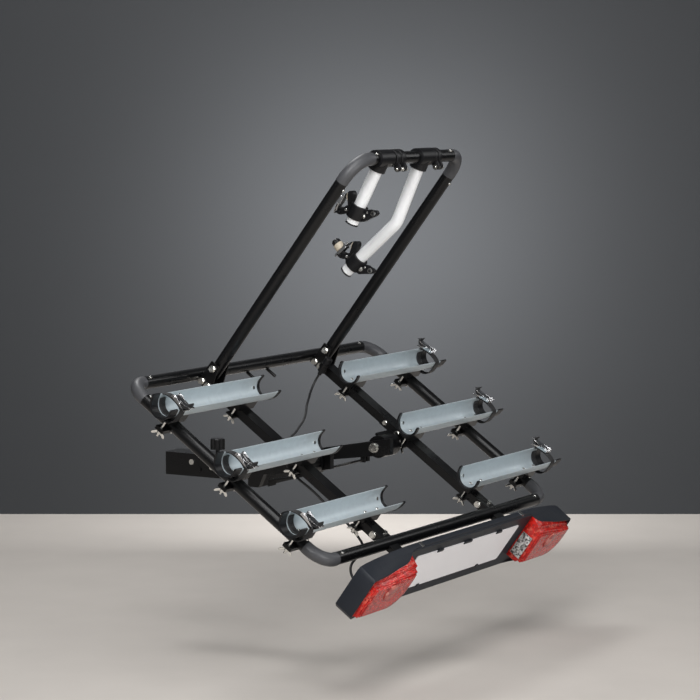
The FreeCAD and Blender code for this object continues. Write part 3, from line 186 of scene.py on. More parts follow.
def makeDustGroup():
    tree, given, out = startGroup(
        "lightDust",
        [("Vector", "NodeSocketVector", None), ("Colour", "NodeSocketColor", (0.02, 0.02, 0.02, 1)),
         ("Dust", "NodeSocketColor", (0.30, 0.29, 0.27, 1)), ("Amount", "NodeSocketFloat", 0.1)],
        [("Colour", "NodeSocketColor")])
    normal = addNode(tree, "ShaderNodeNewGeometry")
    split = addNode(tree, "ShaderNodeSeparateXYZ")
    up = addNode(tree, "ShaderNodeMapRange", {"From Min": 0.1, "From Max": 1.0})
    cloud = addNode(tree, "ShaderNodeTexNoise", {"Scale": 22.0, "Detail": 6.0})
    ramp = addNode(tree, "ShaderNodeMapRange", {"From Min": 0.42, "From Max": 0.72})
    both = addNode(tree, "ShaderNodeMath", operation="MULTIPLY")
    scaled = addNode(tree, "ShaderNodeMath", operation="MULTIPLY")
    mix = mixColours(tree)
    link = tree.links.new
    link(normal.outputs["Normal"], split.inputs[0])
    link(split.outputs["Z"], up.inputs["Value"])
    link(given.outputs["Vector"], cloud.inputs["Vector"])
    link(cloud.outputs["Fac"], ramp.inputs["Value"])
    link(up.outputs[0], both.inputs[0])
    link(ramp.outputs[0], both.inputs[1])
    link(both.outputs[0], scaled.inputs[0])
    link(given.outputs["Amount"], scaled.inputs[1])
    link(scaled.outputs[0], mix.inputs["Factor"])
    link(given.outputs["Colour"], mix.inputs[6])
    link(given.outputs["Dust"], mix.inputs[7])
    link(mix.outputs[2], out.inputs["Colour"])
    return tree


def makeScratchGroup():
    tree, given, out = startGroup(
        "fineScratches",
        [("Vector", "NodeSocketVector", None), ("Scale", "NodeSocketFloat", 60.0),
         ("Stretch", "NodeSocketVector", (0.06, 1.0, 1.0))],
        [("Mask", "NodeSocketFloat")])
    stretch = addNode(tree, "ShaderNodeVectorMath", operation="MULTIPLY")
    streak = addNode(tree, "ShaderNodeTexNoise", {"Detail": 6.0, "Roughness": 0.7})
    cut = addNode(tree, "ShaderNodeMapRange", {"From Min": 0.35, "From Max": 0.75})
    link = tree.links.new
    link(given.outputs["Vector"], stretch.inputs[0])
    link(given.outputs["Stretch"], stretch.inputs[1])
    link(stretch.outputs[0], streak.inputs["Vector"])
    link(given.outputs["Scale"], streak.inputs["Scale"])
    link(streak.outputs["Fac"], cut.inputs["Value"])
    link(cut.outputs[0], out.inputs["Mask"])
    return tree


grainGroup = makeGrainGroup()
dustGroup = makeDustGroup()
scratchGroup = makeScratchGroup()


def placeGroup(tree, group, vector, **values):
    node = addNode(tree, "ShaderNodeGroup", values, node_tree=group)
    tree.links.new(vector, node.inputs["Vector"])
    return node


def newMaterial(name):
    material = bpy.data.materials.new(name)
    material.use_nodes = True
    tree = material.node_tree
    shader = tree.nodes["Principled BSDF"]
    place = addNode(tree, "ShaderNodeTexCoord").outputs["Object"]
    return material, tree, shader, place


def addBump(tree, shader, height, values):
    bump = addNode(tree, "ShaderNodeBump", {"Strength": values["bump"], "Distance": values["depth"]})
    tree.links.new(height, bump.inputs["Height"])
    tree.links.new(bump.outputs[0], shader.inputs["Normal"])


def plainSurface(name, colour, roughness, scale):
    material, tree, shader, place = newMaterial(name)
    cloud = addNode(tree, "ShaderNodeTexNoise", {"Scale": scale, "Detail": 5.0})
    mix = mixColours(tree, [c * 0.94 for c in colour], [c * 1.05 for c in colour])
    tree.links.new(place, cloud.inputs["Vector"])
    tree.links.new(cloud.outputs["Fac"], mix.inputs["Factor"])
    tree.links.new(mix.outputs[2], shader.inputs["Base Color"])
    setInputs(shader, {"Roughness": roughness})
    return material


# The backdrop shows only its front, so that the rack can be seen from its other side too
def openFromBehind(material):
    tree = material.node_tree
    mix = addNode(tree, "ShaderNodeMixShader")
    link = tree.links.new
    link(addNode(tree, "ShaderNodeNewGeometry").outputs["Backfacing"], mix.inputs[0])
    link(tree.nodes["Principled BSDF"].outputs[0], mix.inputs[1])
    link(addNode(tree, "ShaderNodeBsdfTransparent").outputs[0], mix.inputs[2])
    link(mix.outputs[0], tree.nodes["Material Output"].inputs["Surface"])
    return material


def coatedFinish(name, values):
    material, tree, shader, place = newMaterial(name)
    grain = placeGroup(tree, grainGroup, place, Scale=values["grain"], Roughness=values["rough"],
                       Spread=values["spread"])
    dust = placeGroup(tree, dustGroup, place, Amount=values["dust"], Colour=(*values["colour"], 1))
    tree.links.new(dust.outputs["Colour"], shader.inputs["Base Color"])
    tree.links.new(grain.outputs["Roughness"], shader.inputs["Roughness"])
    addBump(tree, shader, grain.outputs["Height"], values)
    setInputs(shader, {"Coat Weight": values.get("coat", 0.0), "Coat Roughness": 0.12,
                       "Specular IOR Level": values.get("specular", 0.5)})
    return material


def metalFinish(name, values):
    material, tree, shader, place = newMaterial(name)
    spots = addNode(tree, "ShaderNodeTexVoronoi", {"Scale": values["spots"]})
    scratch = placeGroup(tree, scratchGroup, place, Scale=values["scratchScale"])
    tone = mixColours(tree, values["dark"], values["colour"])
    wear = mixColours(tree, second=values["streak"])
    amount = addNode(tree, "ShaderNodeMath", {1: values["streakAmount"]}, operation="MULTIPLY")
    rough = addNode(tree, "ShaderNodeMapRange", {"To Min": values["rough"] - values["spread"],
                                                 "To Max": values["rough"] + values["spread"]})
    link = tree.links.new
    link(place, spots.inputs["Vector"])
    link(spots.outputs["Color"], tone.inputs["Factor"])
    link(tone.outputs[2], wear.inputs[6])
    link(scratch.outputs["Mask"], amount.inputs[0])
    link(amount.outputs[0], wear.inputs["Factor"])
    link(wear.outputs[2], shader.inputs["Base Color"])
    link(scratch.outputs["Mask"], rough.inputs["Value"])
    link(rough.outputs[0], shader.inputs["Roughness"])
    addBump(tree, shader, scratch.outputs["Mask"], values)
    setInputs(shader, {"Metallic": values["metal"]})
    return material


def lensFinish(name, values):
    material, tree, shader, place = newMaterial(name)
    prism = addNode(tree, "ShaderNodeTexVoronoi", {"Scale": values["prisms"], "Randomness": 0.15},
                    distance="CHEBYCHEV")
    patch = addNode(tree, "ShaderNodeTexVoronoi", {"Scale": values["patches"]})
    spread = addNode(tree, "ShaderNodeMapRange", {"From Min": 0.25, "From Max": 0.85})
    tone = mixColours(tree, values["dark"], values["colour"])
    # Painted highlights: the brightest patch cells are mixed towards a pale colour that stands in for glints
    # and the floor's reflection; the mottle of the two tones beneath is the lens's own
    highlightMask = addNode(tree, "ShaderNodeMapRange",
                    {"From Min": 0.80, "From Max": 0.95, "To Max": values["highlightStrength"]})
    paintedHighlight = mixColours(tree, second=values["paintedHighlight"])
    parts = addNode(tree, "ShaderNodeSeparateColor")
    link = tree.links.new
    link(place, prism.inputs["Vector"])
    link(place, patch.inputs["Vector"])
    link(patch.outputs["Color"], parts.inputs[0])
    link(parts.outputs[0], spread.inputs["Value"])
    link(spread.outputs[0], tone.inputs["Factor"])
    link(parts.outputs[1], highlightMask.inputs["Value"])
    link(tone.outputs[2], paintedHighlight.inputs[6])
    link(highlightMask.outputs[0], paintedHighlight.inputs["Factor"])
    link(paintedHighlight.outputs[2], shader.inputs["Base Color"])
    addBump(tree, shader, prism.outputs["Distance"], values)
    setInputs(shader, {"Roughness": values["rough"], "Transmission Weight": values["clear"], "IOR": 1.49})
    return material


finish = {
    "blackPaint": {"colour": (0.0028, 0.0028, 0.0032), "grain": 420.0, "rough": 0.28, "spread": 0.08,
                   "dust": 0.02, "bump": 0.08, "depth": 0.0005, "coat": 0.14, "specular": 0.26},
    "elbowPlastic": {"colour": (0.056, 0.057, 0.062), "grain": 1500.0, "rough": 0.44, "spread": 0.10,
                     "dust": 0.06, "bump": 0.2, "depth": 0.0004},
    "boardPlastic": {"colour": (0.013, 0.0155, 0.021), "grain": 1300.0, "rough": 0.50, "spread": 0.08,
                     "dust": 0.01, "bump": 0.2, "depth": 0.0004, "specular": 0.26},
    "blackPlastic": {"colour": (0.006, 0.006, 0.007), "grain": 1200.0, "rough": 0.36, "spread": 0.10,
                     "dust": 0.02, "bump": 0.2, "depth": 0.0004, "specular": 0.30},
    "softBlack": {"colour": (0.012, 0.012, 0.013), "grain": 900.0, "rough": 0.52, "spread": 0.1,
                  "dust": 0.05, "bump": 0.3, "depth": 0.0004},
    "armEnamel": {"colour": (0.87, 0.88, 0.89), "grain": 700.0, "rough": 0.34, "spread": 0.08,
                  "dust": 0.03, "bump": 0.08, "depth": 0.0004, "coat": 0.2},
    "plateWhite": {"colour": (0.90, 0.89, 0.91), "grain": 260.0, "rough": 0.4, "spread": 0.1,
                   "dust": 0.03, "bump": 0.05, "depth": 0.0004, "coat": 0.1},
    "rollerBeige": {"colour": (0.48, 0.42, 0.33), "grain": 800.0, "rough": 0.5, "spread": 0.1,
                    "dust": 0.1, "bump": 0.15, "depth": 0.0004},
}
metals = {
    "zincSheet": {"colour": (0.50, 0.565, 0.595), "dark": (0.45, 0.51, 0.54), "spots": 90.0, "rough": 0.46,
                  "spread": 0.07, "streak": (0.56, 0.62, 0.65), "streakAmount": 0.35, "scratchScale": 60.0,
                  "bump": 0.05, "depth": 0.0004, "metal": 0.30},
    "zincBright": {"colour": (0.78, 0.77, 0.74), "dark": (0.66, 0.66, 0.64), "spots": 260.0, "rough": 0.24,
                   "spread": 0.08, "streak": (0.85, 0.83, 0.76), "streakAmount": 0.5, "scratchScale": 200.0,
                   "bump": 0.1, "depth": 0.0004, "metal": 1.0},
    "chrome": {"colour": (0.80, 0.80, 0.81), "dark": (0.72, 0.72, 0.73), "spots": 180.0, "rough": 0.12,
               "spread": 0.05, "streak": (0.9, 0.9, 0.9), "streakAmount": 0.3, "scratchScale": 240.0,
               "bump": 0.05, "depth": 0.0004, "metal": 1.0},
}
# In each lens the pale colour and its amount are painted highlights, for glints and reflections; the other
# two colours are the lens's own tones
lenses = {
    "lampRed": {"colour": (0.62, 0.016, 0.010), "dark": (0.34, 0.010, 0.008), "paintedHighlight": (0.80, 0.22, 0.15),
                "patches": 190.0, "highlightStrength": 0.40, "prisms": 210.0, "bump": 0.4, "depth": 0.0015,
                "rough": 0.12, "clear": 0.12},
    "lampPale": {"colour": (0.62, 0.16, 0.12), "dark": (0.34, 0.05, 0.05), "paintedHighlight": (0.78, 0.40, 0.34),
                 "patches": 90.0, "highlightStrength": 0.5, "prisms": 420.0, "bump": 0.5, "depth": 0.0015,
                 "rough": 0.22, "clear": 0.1},
    "lampClear": {"colour": (0.80, 0.80, 0.78), "dark": (0.10, 0.09, 0.09), "paintedHighlight": (0.9, 0.9, 0.9),
                  "patches": 240.0, "highlightStrength": 0.6, "prisms": 230.0, "bump": 0.6, "depth": 0.0015,
                  "rough": 0.1, "clear": 0.3},
}
paints = {name: coatedFinish(name, values) for name, values in finish.items()}
paints.update({name: metalFinish(name, values) for name, values in metals.items()})
paints.update({name: lensFinish(name, values) for name, values in lenses.items()})

slotPaint = {
    "black_paint": "blackPaint",
    "elbow_plastic": "elbowPlastic",
    "zinc_sheet": "zincSheet",
    "zinc_hardware": "zincBright",
    "arm_silver": "armEnamel",
    "black_plastic": "blackPlastic",
    "board_plastic": "boardPlastic",
    "lamp_red": "lampRed",
    "bulb_glass": "lampClear",
    "plate_white": "plateWhite",
    "strap_rubber": "softBlack",
    "chrome_buckle": "chrome",
    "cable_black": "softBlack",
}


def paintCadNodes():
    slotOf = {part["node"]: part["material_slot"] for part in frame["record"]["subparts"]}
    for name, node in nodes.items():
        node.data.materials.clear()
        node.data.materials.append(paints[slotPaint[slotOf[name]]])
    print("frame painted")


# Cable: the same listed points as its solid, in the platform's flat drawing
cable = {
    "diameter": 0.006,
    "points": [(0.2185, -0.062, -0.009), (0.2185, -0.062, -0.023), (0.215, -0.065, -0.037),
               (0.206, -0.071, -0.048), (0.191, -0.080, -0.053), (0.164, -0.096, -0.054),
               (0.110, -0.123, -0.047), (0.052, -0.158, -0.040), (0.0, -0.184, -0.036),
               (-0.056, -0.205, -0.027), (-0.118, -0.231, -0.016), (-0.170, -0.246, -0.012),
               (-0.212, -0.264, -0.018), (-0.240, -0.296, -0.034), (-0.251, -0.344, -0.039),
               (-0.246, -0.396, -0.037), (-0.252, -0.452, -0.038), (-0.247, -0.508, -0.038),
               (-0.258, -0.560, -0.040), (-0.288, -0.598, -0.035), (-0.334, -0.620, -0.027),
               (-0.384, -0.630, -0.023), (-0.424, -0.643, -0.026), (-0.446, -0.664, -0.031),
               (-0.453, -0.686, -0.033), (-0.453, -0.706, -0.033)],
}


def makeCable():
    curve = bpy.data.curves.new("cableLine", "CURVE")
    curve.dimensions = "3D"
    spline = curve.splines.new("NURBS")
    spline.points.add(len(cable["points"]) - 1)
    for point, place in zip(spline.points, cable["points"]):
        point.co = (*flat(*place), 1.0)
    spline.order_u = 3
    spline.use_endpoint_u = True
    curve.resolution_u = 10
    curve.bevel_depth = cable["diameter"] / 2
    curve.bevel_resolution = 5
    curve.use_fill_caps = True
    line = bpy.data.objects.new("cable_line", curve)
    bpy.context.scene.collection.objects.link(line)
    line.data.materials.append(paints["softBlack"])
    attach(line, "platform")
    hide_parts("cable")
    print("cable laid")


# Small helpers for modelling
def deselectAll():
    if bpy.context.object and bpy.context.object.mode != "OBJECT":
        bpy.ops.object.mode_set(mode="OBJECT")
    bpy.ops.object.select_all(action="DESELECT")


def takeUp(piece):
    deselectAll()
    piece.select_set(True)
    bpy.context.view_layer.objects.active = piece


def pickFaces(piece, wanted):
    takeUp(piece)
    bpy.ops.object.mode_set(mode="EDIT")
    bpy.ops.mesh.select_mode(type="FACE")
    bpy.ops.mesh.select_all(action="DESELECT")
    shape = bmesh.from_edit_mesh(piece.data)
    for face in shape.faces:
        face.select = bool(wanted(face.calc_center_median(), face.normal))
    bmesh.update_edit_mesh(piece.data)


def applyAll(piece):
    takeUp(piece)
    bpy.ops.object.transform_apply(location=True, rotation=True, scale=True)
    for modifier in list(piece.modifiers):
        bpy.ops.object.modifier_apply(modifier=modifier.name)


def editAll(piece):
    takeUp(piece)
    bpy.ops.object.mode_set(mode="EDIT")
    bpy.ops.mesh.select_all(action="SELECT")


def leaveEdit():
    bpy.ops.object.mode_set(mode="OBJECT")


def pushOut(way):
    bpy.ops.mesh.extrude_region_move(TRANSFORM_OT_translate={"value": way})


def tidyNormals(piece, merge=1e-6):
    editAll(piece)
    bpy.ops.mesh.remove_doubles(threshold=merge)
    bpy.ops.mesh.normals_make_consistent(inside=False)
    leaveEdit()


def softEdges(piece, width, segments=2, angle=35.0):
    bevel = piece.modifiers.new("bevel", "BEVEL")
    bevel.width = width
    bevel.segments = segments
    bevel.limit_method = "ANGLE"
    bevel.angle_limit = math.radians(angle)
    applyAll(piece)
    bpy.ops.object.shade_smooth_by_angle(angle=math.radians(40))


def startBlock(size, place):
    deselectAll()
    bpy.ops.mesh.primitive_cube_add(size=1.0, location=place)
    piece = bpy.context.object
    piece.scale = size
    applyAll(piece)
    return piece


def startRing(points):
    deselectAll()
    bpy.ops.mesh.primitive_circle_add(vertices=len(points), fill_type="NOTHING")
    piece = bpy.context.object
    for vert, point in zip(piece.data.vertices, points):
        vert.co = point
    return piece


# A flat outline given thickness, with its corners rounded first
def cutPlate(points, across, corner=0.0, segments=3):
    piece = startRing(points)
    editAll(piece)
    bpy.ops.mesh.select_mode(type="VERT")
    bpy.ops.mesh.select_all(action="SELECT")
    if corner > 0:
        bpy.ops.mesh.bevel(offset=corner, segments=segments, affect="VERTICES")
        bpy.ops.mesh.select_all(action="SELECT")
    bpy.ops.mesh.edge_face_add()
    bpy.ops.mesh.select_all(action="SELECT")
    pushOut(across)
    leaveEdit()
    tidyNormals(piece)
    return piece


# The same for an outline of (y, z) pairs, from x onwards or to both sides of x = 0
def sidePlate(outline, x, wide, corner=0.0, segments=3):
    return cutPlate([(x, a, b) for a, b in outline], (wide, 0, 0), corner, segments)


def flatBar(outline, half, corner=0.002):
    return sidePlate(outline, -half, 2 * half, corner)


# A closed profile of (radius, distance along) pairs turned about an axis through a place
def turnProfile(pairs, axis, place=(0, 0, 0), steps=32):
    along = {"X": Vector((1, 0, 0)), "Y": Vector((0, 1, 0)), "Z": Vector((0, 0, 1))}[axis]
    out = {"X": Vector((0, 1, 0)), "Y": Vector((0, 0, 1)), "Z": Vector((1, 0, 0))}[axis]
    piece = startRing([Vector(place) + out * r + along * a for r, a in pairs])
    editAll(piece)
    bpy.ops.mesh.spin(steps=steps, angle=2 * math.pi, center=place, axis=along)
    leaveEdit()
    tidyNormals(piece, 2e-6)
    return piece


def makeRod(radius, start, end, place=(0, 0, 0), steps=20):
    return turnProfile([(0.0, start), (radius, start), (radius, end), (0.0, end)], "X", place, steps)


def toothedOutline(teeth, low, high):
    turns = [math.pi * k / teeth for k in range(2 * teeth)]
    radii = [low, high] * teeth
    return [(r * math.sin(turn), r * math.cos(turn)) for r, turn in zip(radii, turns)]


# Lays a straight piece, drawn along y, on a path of points that share one x
def layAlong(piece, path):
    reach = [0.0]
    for a, b in zip(path, path[1:]):
        reach.append(reach[-1] + (b - a).length)
    across = Vector((1, 0, 0))
    last = len(path) - 1
    ways = [(path[min(k + 1, last)] - path[max(k - 1, 0)]).normalized() for k in range(len(path))]
    for vert in piece.data.vertices:
        at = min(max(vert.co.y, 0.0), reach[-1])
        k = max(i for i in range(last) if reach[i] <= at + 1e-9)
        share = (at - reach[k]) / (reach[k + 1] - reach[k])
        way = ways[k].lerp(ways[k + 1], share).normalized()
        vert.co = path[k].lerp(path[k + 1], share) + across * vert.co.x + across.cross(way) * vert.co.z
    tidyNormals(piece)


def pathLength(path):
    return sum((b - a).length for a, b in zip(path, path[1:]))


# A soft line through chosen points
def smoothPath(corners, count=8):
    path = []
    whole = [corners[0]] + list(corners) + [corners[-1]]
    for a, b, c, d in zip(whole, whole[1:], whole[2:], whole[3:]):
        for k in range(count):
            t = k / count
            path.append(0.5 * ((2 * b) + (c - a) * t + (2 * a - 5 * b + 4 * c - d) * t * t
                               + (3 * b - a - 3 * c + d) * t * t * t))
    return path + [corners[-1]]


def joinUp(pieces):
    deselectAll()
    for piece in pieces:
        piece.select_set(True)
    bpy.context.view_layer.objects.active = pieces[0]
    bpy.ops.object.join()
    return bpy.context.object


def handOver(piece, name, paint, body, place=onRack, replaced=()):
    piece.data.transform(place @ piece.matrix_world)
    piece.matrix_world = Matrix.Identity(4)
    piece.name = name
    if not piece.data.materials:
        piece.data.materials.append(paints[paint])
    if body:
        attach(piece, body)
    if replaced:
        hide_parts(*replaced)
    return piece


# Ladder strap: a band with rungs, made of one cell repeated
ladder = {
    "thick": 0.0022,
    "pitch": 0.005,
    "rungWide": 0.62,
    "rungLong": 0.45,
    "rungThick": 0.0016,
    "rungRise": 0.0005,
}


def makeLadder(length, width, thick, pitch):
    count = round(length / pitch)
    step = length / count
    ribbon = startBlock((width, step, thick), (0, step / 2, 0))
    pickFaces(ribbon, lambda centre, normal: abs(normal.y) > 0.9)
    bpy.ops.mesh.delete(type="FACE")
    leaveEdit()
    rows = ribbon.modifiers.new("rows", "ARRAY")
    rows.count = count
    rows.use_merge_vertices = True
    rows.merge_threshold = 1e-5
    rows.relative_offset_displace = (0, 1, 0)
    applyAll(ribbon)
    editAll(ribbon)
    bpy.ops.mesh.fill_holes(sides=0)
    leaveEdit()
    rung = startBlock((width * ladder["rungWide"], step * ladder["rungLong"], ladder["rungThick"]),
                      (0, step / 2, thick / 2 + ladder["rungRise"]))
    rows = rung.modifiers.new("rows", "ARRAY")
    rows.count = count
    rows.use_relative_offset = False
    rows.use_constant_offset = True
    rows.constant_offset_displace = (0, step, 0)
    applyAll(rung)
    return joinUp([ribbon, rung])


def layLadder(path, width, thick=ladder["thick"], pitch=ladder["pitch"]):
    piece = makeLadder(pathLength(path), width, thick, pitch)
    layAlong(piece, path)
    return piece


# Light board: rim at the back, face with the plate, lip that grows into a hood over each lamp
board = {
    "back": -0.691,
    "face": -0.709,
    "wall": 0.0035,
    "step": 0.0012,
    "half": 0.504,
    "top": ((0.0, 0.053), (0.283, 0.053), (0.330, 0.0515), (0.385, 0.047), (0.440, 0.0405),
            (0.480, 0.034), (0.504, 0.027)),
    "low": ((0.0, -0.113), (0.318, -0.113), (0.504, -0.089)),
    "lipZ": (-0.089, 0.027),
    "topLip": ((0.0, 0.7045), (0.292, 0.705), (0.306, 0.709), (0.322, 0.720), (0.340, 0.7275),
               (0.385, 0.7305), (0.440, 0.736), (0.504, 0.741)),
    "lowLip": ((0.0, 0.7095), (0.318, 0.7095), (0.350, 0.7145), (0.400, 0.7235), (0.504, 0.741)),
    "hoodFrom": 0.02,
    "hoodDrop": ((0.0, 0.0), (0.292, 0.0), (0.306, 0.004), (0.322, 0.010), (0.340, 0.015), (0.385, 0.016),
                 (0.440, 0.013), (0.480, 0.008), (0.504, 0.0)),
    "topXs": (0.0, 0.10, 0.20, 0.25, 0.283, 0.295, 0.306, 0.316, 0.328, 0.345, 0.365, 0.385, 0.41, 0.44,
              0.465, 0.48, 0.492, 0.5),
    "lowXs": (0.0, 0.10, 0.20, 0.30, 0.318, 0.335, 0.355, 0.38, 0.41, 0.44, 0.47, 0.492),
    "endZs": (0.018, -0.02, -0.055, -0.080),
    "hollowIn": 0.004,
    "hollow": 0.006,
    "tabs": ((-0.150, 0.0235, 0.014), (-0.012, 0.0235, 0.020), (0.150, 0.0235, 0.014),
             (-0.150, -0.0835, 0.006), (0.150, -0.0835, 0.006)),
    "tabSize": (0.0032, 0.007),
    "tabY": -0.7113,
    "clipX": 0.256,
    "clip": (((0.0100, 0.014, 0.0014), (-0.698, 0.0532)), ((0.0100, 0.0012, 0.006), (-0.7049, 0.0505))),
}


def onTable(table, at):
    for (a, va), (b, vb) in zip(table, table[1:]):
        if at <= b:
            return va + (vb - va) * max(0.0, at - a) / (b - a)
    return table[-1][1]


def boardLip(x, z):
    low, high = board["lipZ"]
    share = min(max((z - low) / (high - low), 0.0), 1.0)
    return -(onTable(board["topLip"], abs(x)) * share + onTable(board["lowLip"], abs(x)) * (1 - share))


def makeLightBoard():
    topRow = [(x, onTable(board["top"], x)) for x in board["topXs"]]
    lowRow = [(x, onTable(board["low"], x)) for x in board["lowXs"]]
    right = topRow + [(board["half"], z) for z in board["endZs"]] + lowRow[::-1]
    left = [(-x, z) for x, z in right[1:-1]][::-1]
    piece = startRing([(x, board["back"], z) for x, z in right + left])
    editAll(piece)
    bpy.ops.mesh.edge_face_add()
    pushOut((0, board["face"] - board["back"], 0))
    bpy.ops.mesh.inset(thickness=board["wall"])
    bpy.ops.mesh.inset(thickness=board["step"])
    leaveEdit()
    tidyNormals(piece)
    face = max((p for p in piece.data.polygons if p.normal.y < -0.9), key=lambda p: p.area)
    kept = set(face.vertices)
    for vert in piece.data.vertices:
        if vert.index not in kept and vert.co.y < board["face"] + 0.001:
            vert.co.y = boardLip(vert.co.x, vert.co.z)
            if vert.co.z > board["hoodFrom"]:
                vert.co.z -= onTable(board["hoodDrop"], abs(vert.co.x))
    pickFaces(piece, lambda centre, normal: normal.y > 0.9 and centre.y > board["back"] - 0.001)
    bpy.ops.mesh.inset(thickness=board["hollowIn"])
    pushOut((0, -board["hollow"], 0))
    leaveEdit()
    softEdges(piece, 0.0016, 2, 40)
    tabs = []
    for x, z, half in board["tabs"]:
        tabs.append(startBlock((2 * half, *board["tabSize"]), (x, board["tabY"], z)))
        softEdges(tabs[-1], 0.0008)
    handOver(joinUp([piece] + tabs), "board_shell", "boardPlastic", "platform",
             replaced=("light_board",))
    clips = [startBlock(size, (x, *at)) for x in (-board["clipX"], board["clipX"])
             for size, at in board["clip"]]
    handOver(joinUp(clips), "board_clips", "zincBright", "platform")
    print("light board made")


# Lamps: the same moulding on both sides, its big round corner at the low right
lamp = {
    "in": 0.312,
    "out": 0.5004,
    "low": -0.081,
    "gap": 0.0075,
    "corner": 0.062,
    "layers": ((0.030, 0.003), (0.0012, 0.0016), (0.0010, 0.0), (0.0078, 0.0035), (0.0035, 0.004),
               (0.0016, 0.008)),
    "slope": 0.42,
    "slopeFrom": 0.005,
    "slopeOver": 0.02,
    "ring": ((0.0, 0.0), (0.0, -0.0030), (0.019, -0.0026), (0.023, -0.0006), (0.023, 0.001)),
    "ringAt": (-0.005, -0.0462, -0.014),
    "pane": (0.0016, 0.030, 0.066),
    "paneAt": (-0.0001, -0.0185, -0.036),
}


def makeLamp(side):
    x0, x1 = (lamp["in"], lamp["out"]) if side == "right" else (-lamp["out"], -lamp["in"])
    along = [x0] + [x1 + (x0 - x1) * t for t in (0.0, 0.25, 0.5, 0.75)]
    top = [(x, onTable(board["top"], abs(x)) - lamp["gap"]) for x in along]
    points = [top[0], (x0, lamp["low"])]
    for k in range(9):
        turn = math.pi / 2 * k / 8
        points.append((x1 - lamp["corner"] * (1 - math.sin(turn)),
                       lamp["low"] + lamp["corner"] * (1 - math.cos(turn))))
    piece = startRing([(x, board["face"], z) for x, z in points + top[1:]])
    editAll(piece)
    bpy.ops.mesh.edge_face_add()
    for depth, inset in lamp["layers"]:
        pushOut((0, -depth, 0))
        if inset > 0:
            bpy.ops.mesh.inset(thickness=inset)
    leaveEdit()
    for vert in piece.data.vertices:
        inward = board["face"] - vert.co.y
        rise = vert.co.z - lamp["slopeFrom"]
        if rise > 0:
            vert.co.z -= inward * lamp["slope"] * min(1.0, rise / lamp["slopeOver"])
    tidyNormals(piece)
    softEdges(piece, 0.0012, 2, 30)
    handOver(piece, "lamp_cover_" + side, "lampRed", "platform", replaced=("lens_" + side,))
    x, y, z = lamp["ringAt"]
    rings = turnProfile(lamp["ring"], "Y", ((x0 + x1) / 2 + x, board["face"] + y, z), 40)
    bpy.ops.object.shade_smooth_by_angle(angle=math.radians(40))
    handOver(rings, "lamp_reflector_" + side, "lampPale", "platform")
    if side == "right":
        x, y, z = lamp["paneAt"]
        pane = startBlock(lamp["pane"], (x0 + x, board["face"] + y, z))
        softEdges(pane, 0.0005)
        handOver(pane, "lamp_window", "lampClear", "platform")
    print("lamp made", side)


# Wheel straps: a ladder band round each channel's outer end, its short tail, and a band lining the channel
strap = {
    "width": 0.022,
    "lining": 0.0268,
    "liningStep": 9.4,
    "liningSteps": 9,
    "loop": ((0.004, 0.0195), (0.018, 0.0225), (0.0275, 0.0320), (0.0318, 0.0480), (0.0318, 0.0640),
             (0.0288, 0.0700), (0.0160, 0.0752), (0.0, 0.0766), (-0.0160, 0.0752), (-0.0288, 0.0700),
             (-0.0318, 0.0640), (-0.0318, 0.0480), (-0.0300, 0.0375), (-0.0235, 0.0270), (-0.0110, 0.0210),
             (0.0, 0.0195)),
    "tail": ((0.022, 0.0800), (0.034, 0.0796), (0.0405, 0.0826), (0.0425, 0.0890), (0.0400, 0.0950)),
}


def leverPin(side, row):
    return Vector(joints["buckle_lever_" + side + "_" + row + "_lift"]["pos_m"])


def makeWheelStraps():
    for side, way in (("left", -1), ("right", 1)):
        for row, y in zip(rack["rows"], rack["channelY"]):
            x = leverPin(side, row).x
            loop = smoothPath([Vector((x, y + a, b)) for a, b in strap["loop"]], 5)
            tail = smoothPath([Vector((x, y + way * a, b)) for a, b in strap["tail"]], 6)
            lining = []
            for k in range(-strap["liningSteps"], strap["liningSteps"] + 1):
                turn = math.radians(k * strap["liningStep"])
                lining.append(Vector((x, y + strap["lining"] * math.sin(turn),
                                      rack["channelZ"] - strap["lining"] * math.cos(turn))))
            piece = joinUp([layLadder(path, strap["width"]) for path in (loop, tail, lining)])
            softEdges(piece, 0.0003, 1, 50)
            handOver(piece, "wheel_strap_" + side + "_" + row, "softBlack", "platform",
                     replaced=("wheel_straps",))
    print("wheel straps laid")


# Ratchet buckles, drawn with the hinge pin on the x axis and the lever pointing along +y
buckle = {
    "turn": math.radians(8.0),
    "half": 0.014,
    "sheet": 0.0016,
    "drum": 0.0034,
    "drumIn": 0.001,
    "base": (0.046, 0.0165, -0.0050),
    "rivetsAt": (-0.0012, 0.0002),
    "rivet": ((0.0, 0.0), (0.0026, 0.0), (0.0030, 0.0004), (0.0026, 0.0010), (0.0, 0.0010)),
    "wheel": (13, 0.0040, 0.0052),
    "wheelsAt": (0.0022, -0.0036),
    "wheelWide": 0.0014,
    "cheek": ((-0.0070, -0.0058), (-0.0070, 0.0020), (-0.0035, 0.0042), (0.0055, 0.0040), (0.0180, 0.0008),
              (0.0330, -0.0028), (0.0400, -0.0044), (0.0400, -0.0058)),
    "blade": ((-0.0010, 0.0028), (0.0040, 0.0042), (0.0270, 0.0048), (0.0350, 0.0062), (0.0415, 0.0096),
              (0.0460, 0.0104), (0.0472, 0.0090), (0.0425, 0.0078), (0.0360, 0.0044), (0.0280, 0.0030),
              (0.0050, 0.0026), (0.0020, 0.0010)),
    "bladeIn": 0.0045,
    "arm": ((-0.0040, -0.0020), (-0.0040, 0.0022), (0.0, 0.0044), (0.0260, 0.0048), (0.0260, 0.0018),
            (0.0100, -0.0010), (0.0030, -0.0038)),
    "armWide": 0.0014,
}


def bucklePlace(side, row):
    about = Matrix.Rotation(math.pi, 4, "Z")
    lean = Matrix.Rotation(rack["tilt"], 4, "X")
    turn = lean @ Matrix.Rotation(buckle["turn"], 4, "X") @ about
    if side == "right":
        turn = lean @ about @ Matrix.Rotation(buckle["turn"], 4, "X") @ about
    return Matrix.Translation(leverPin(side, row)) @ turn


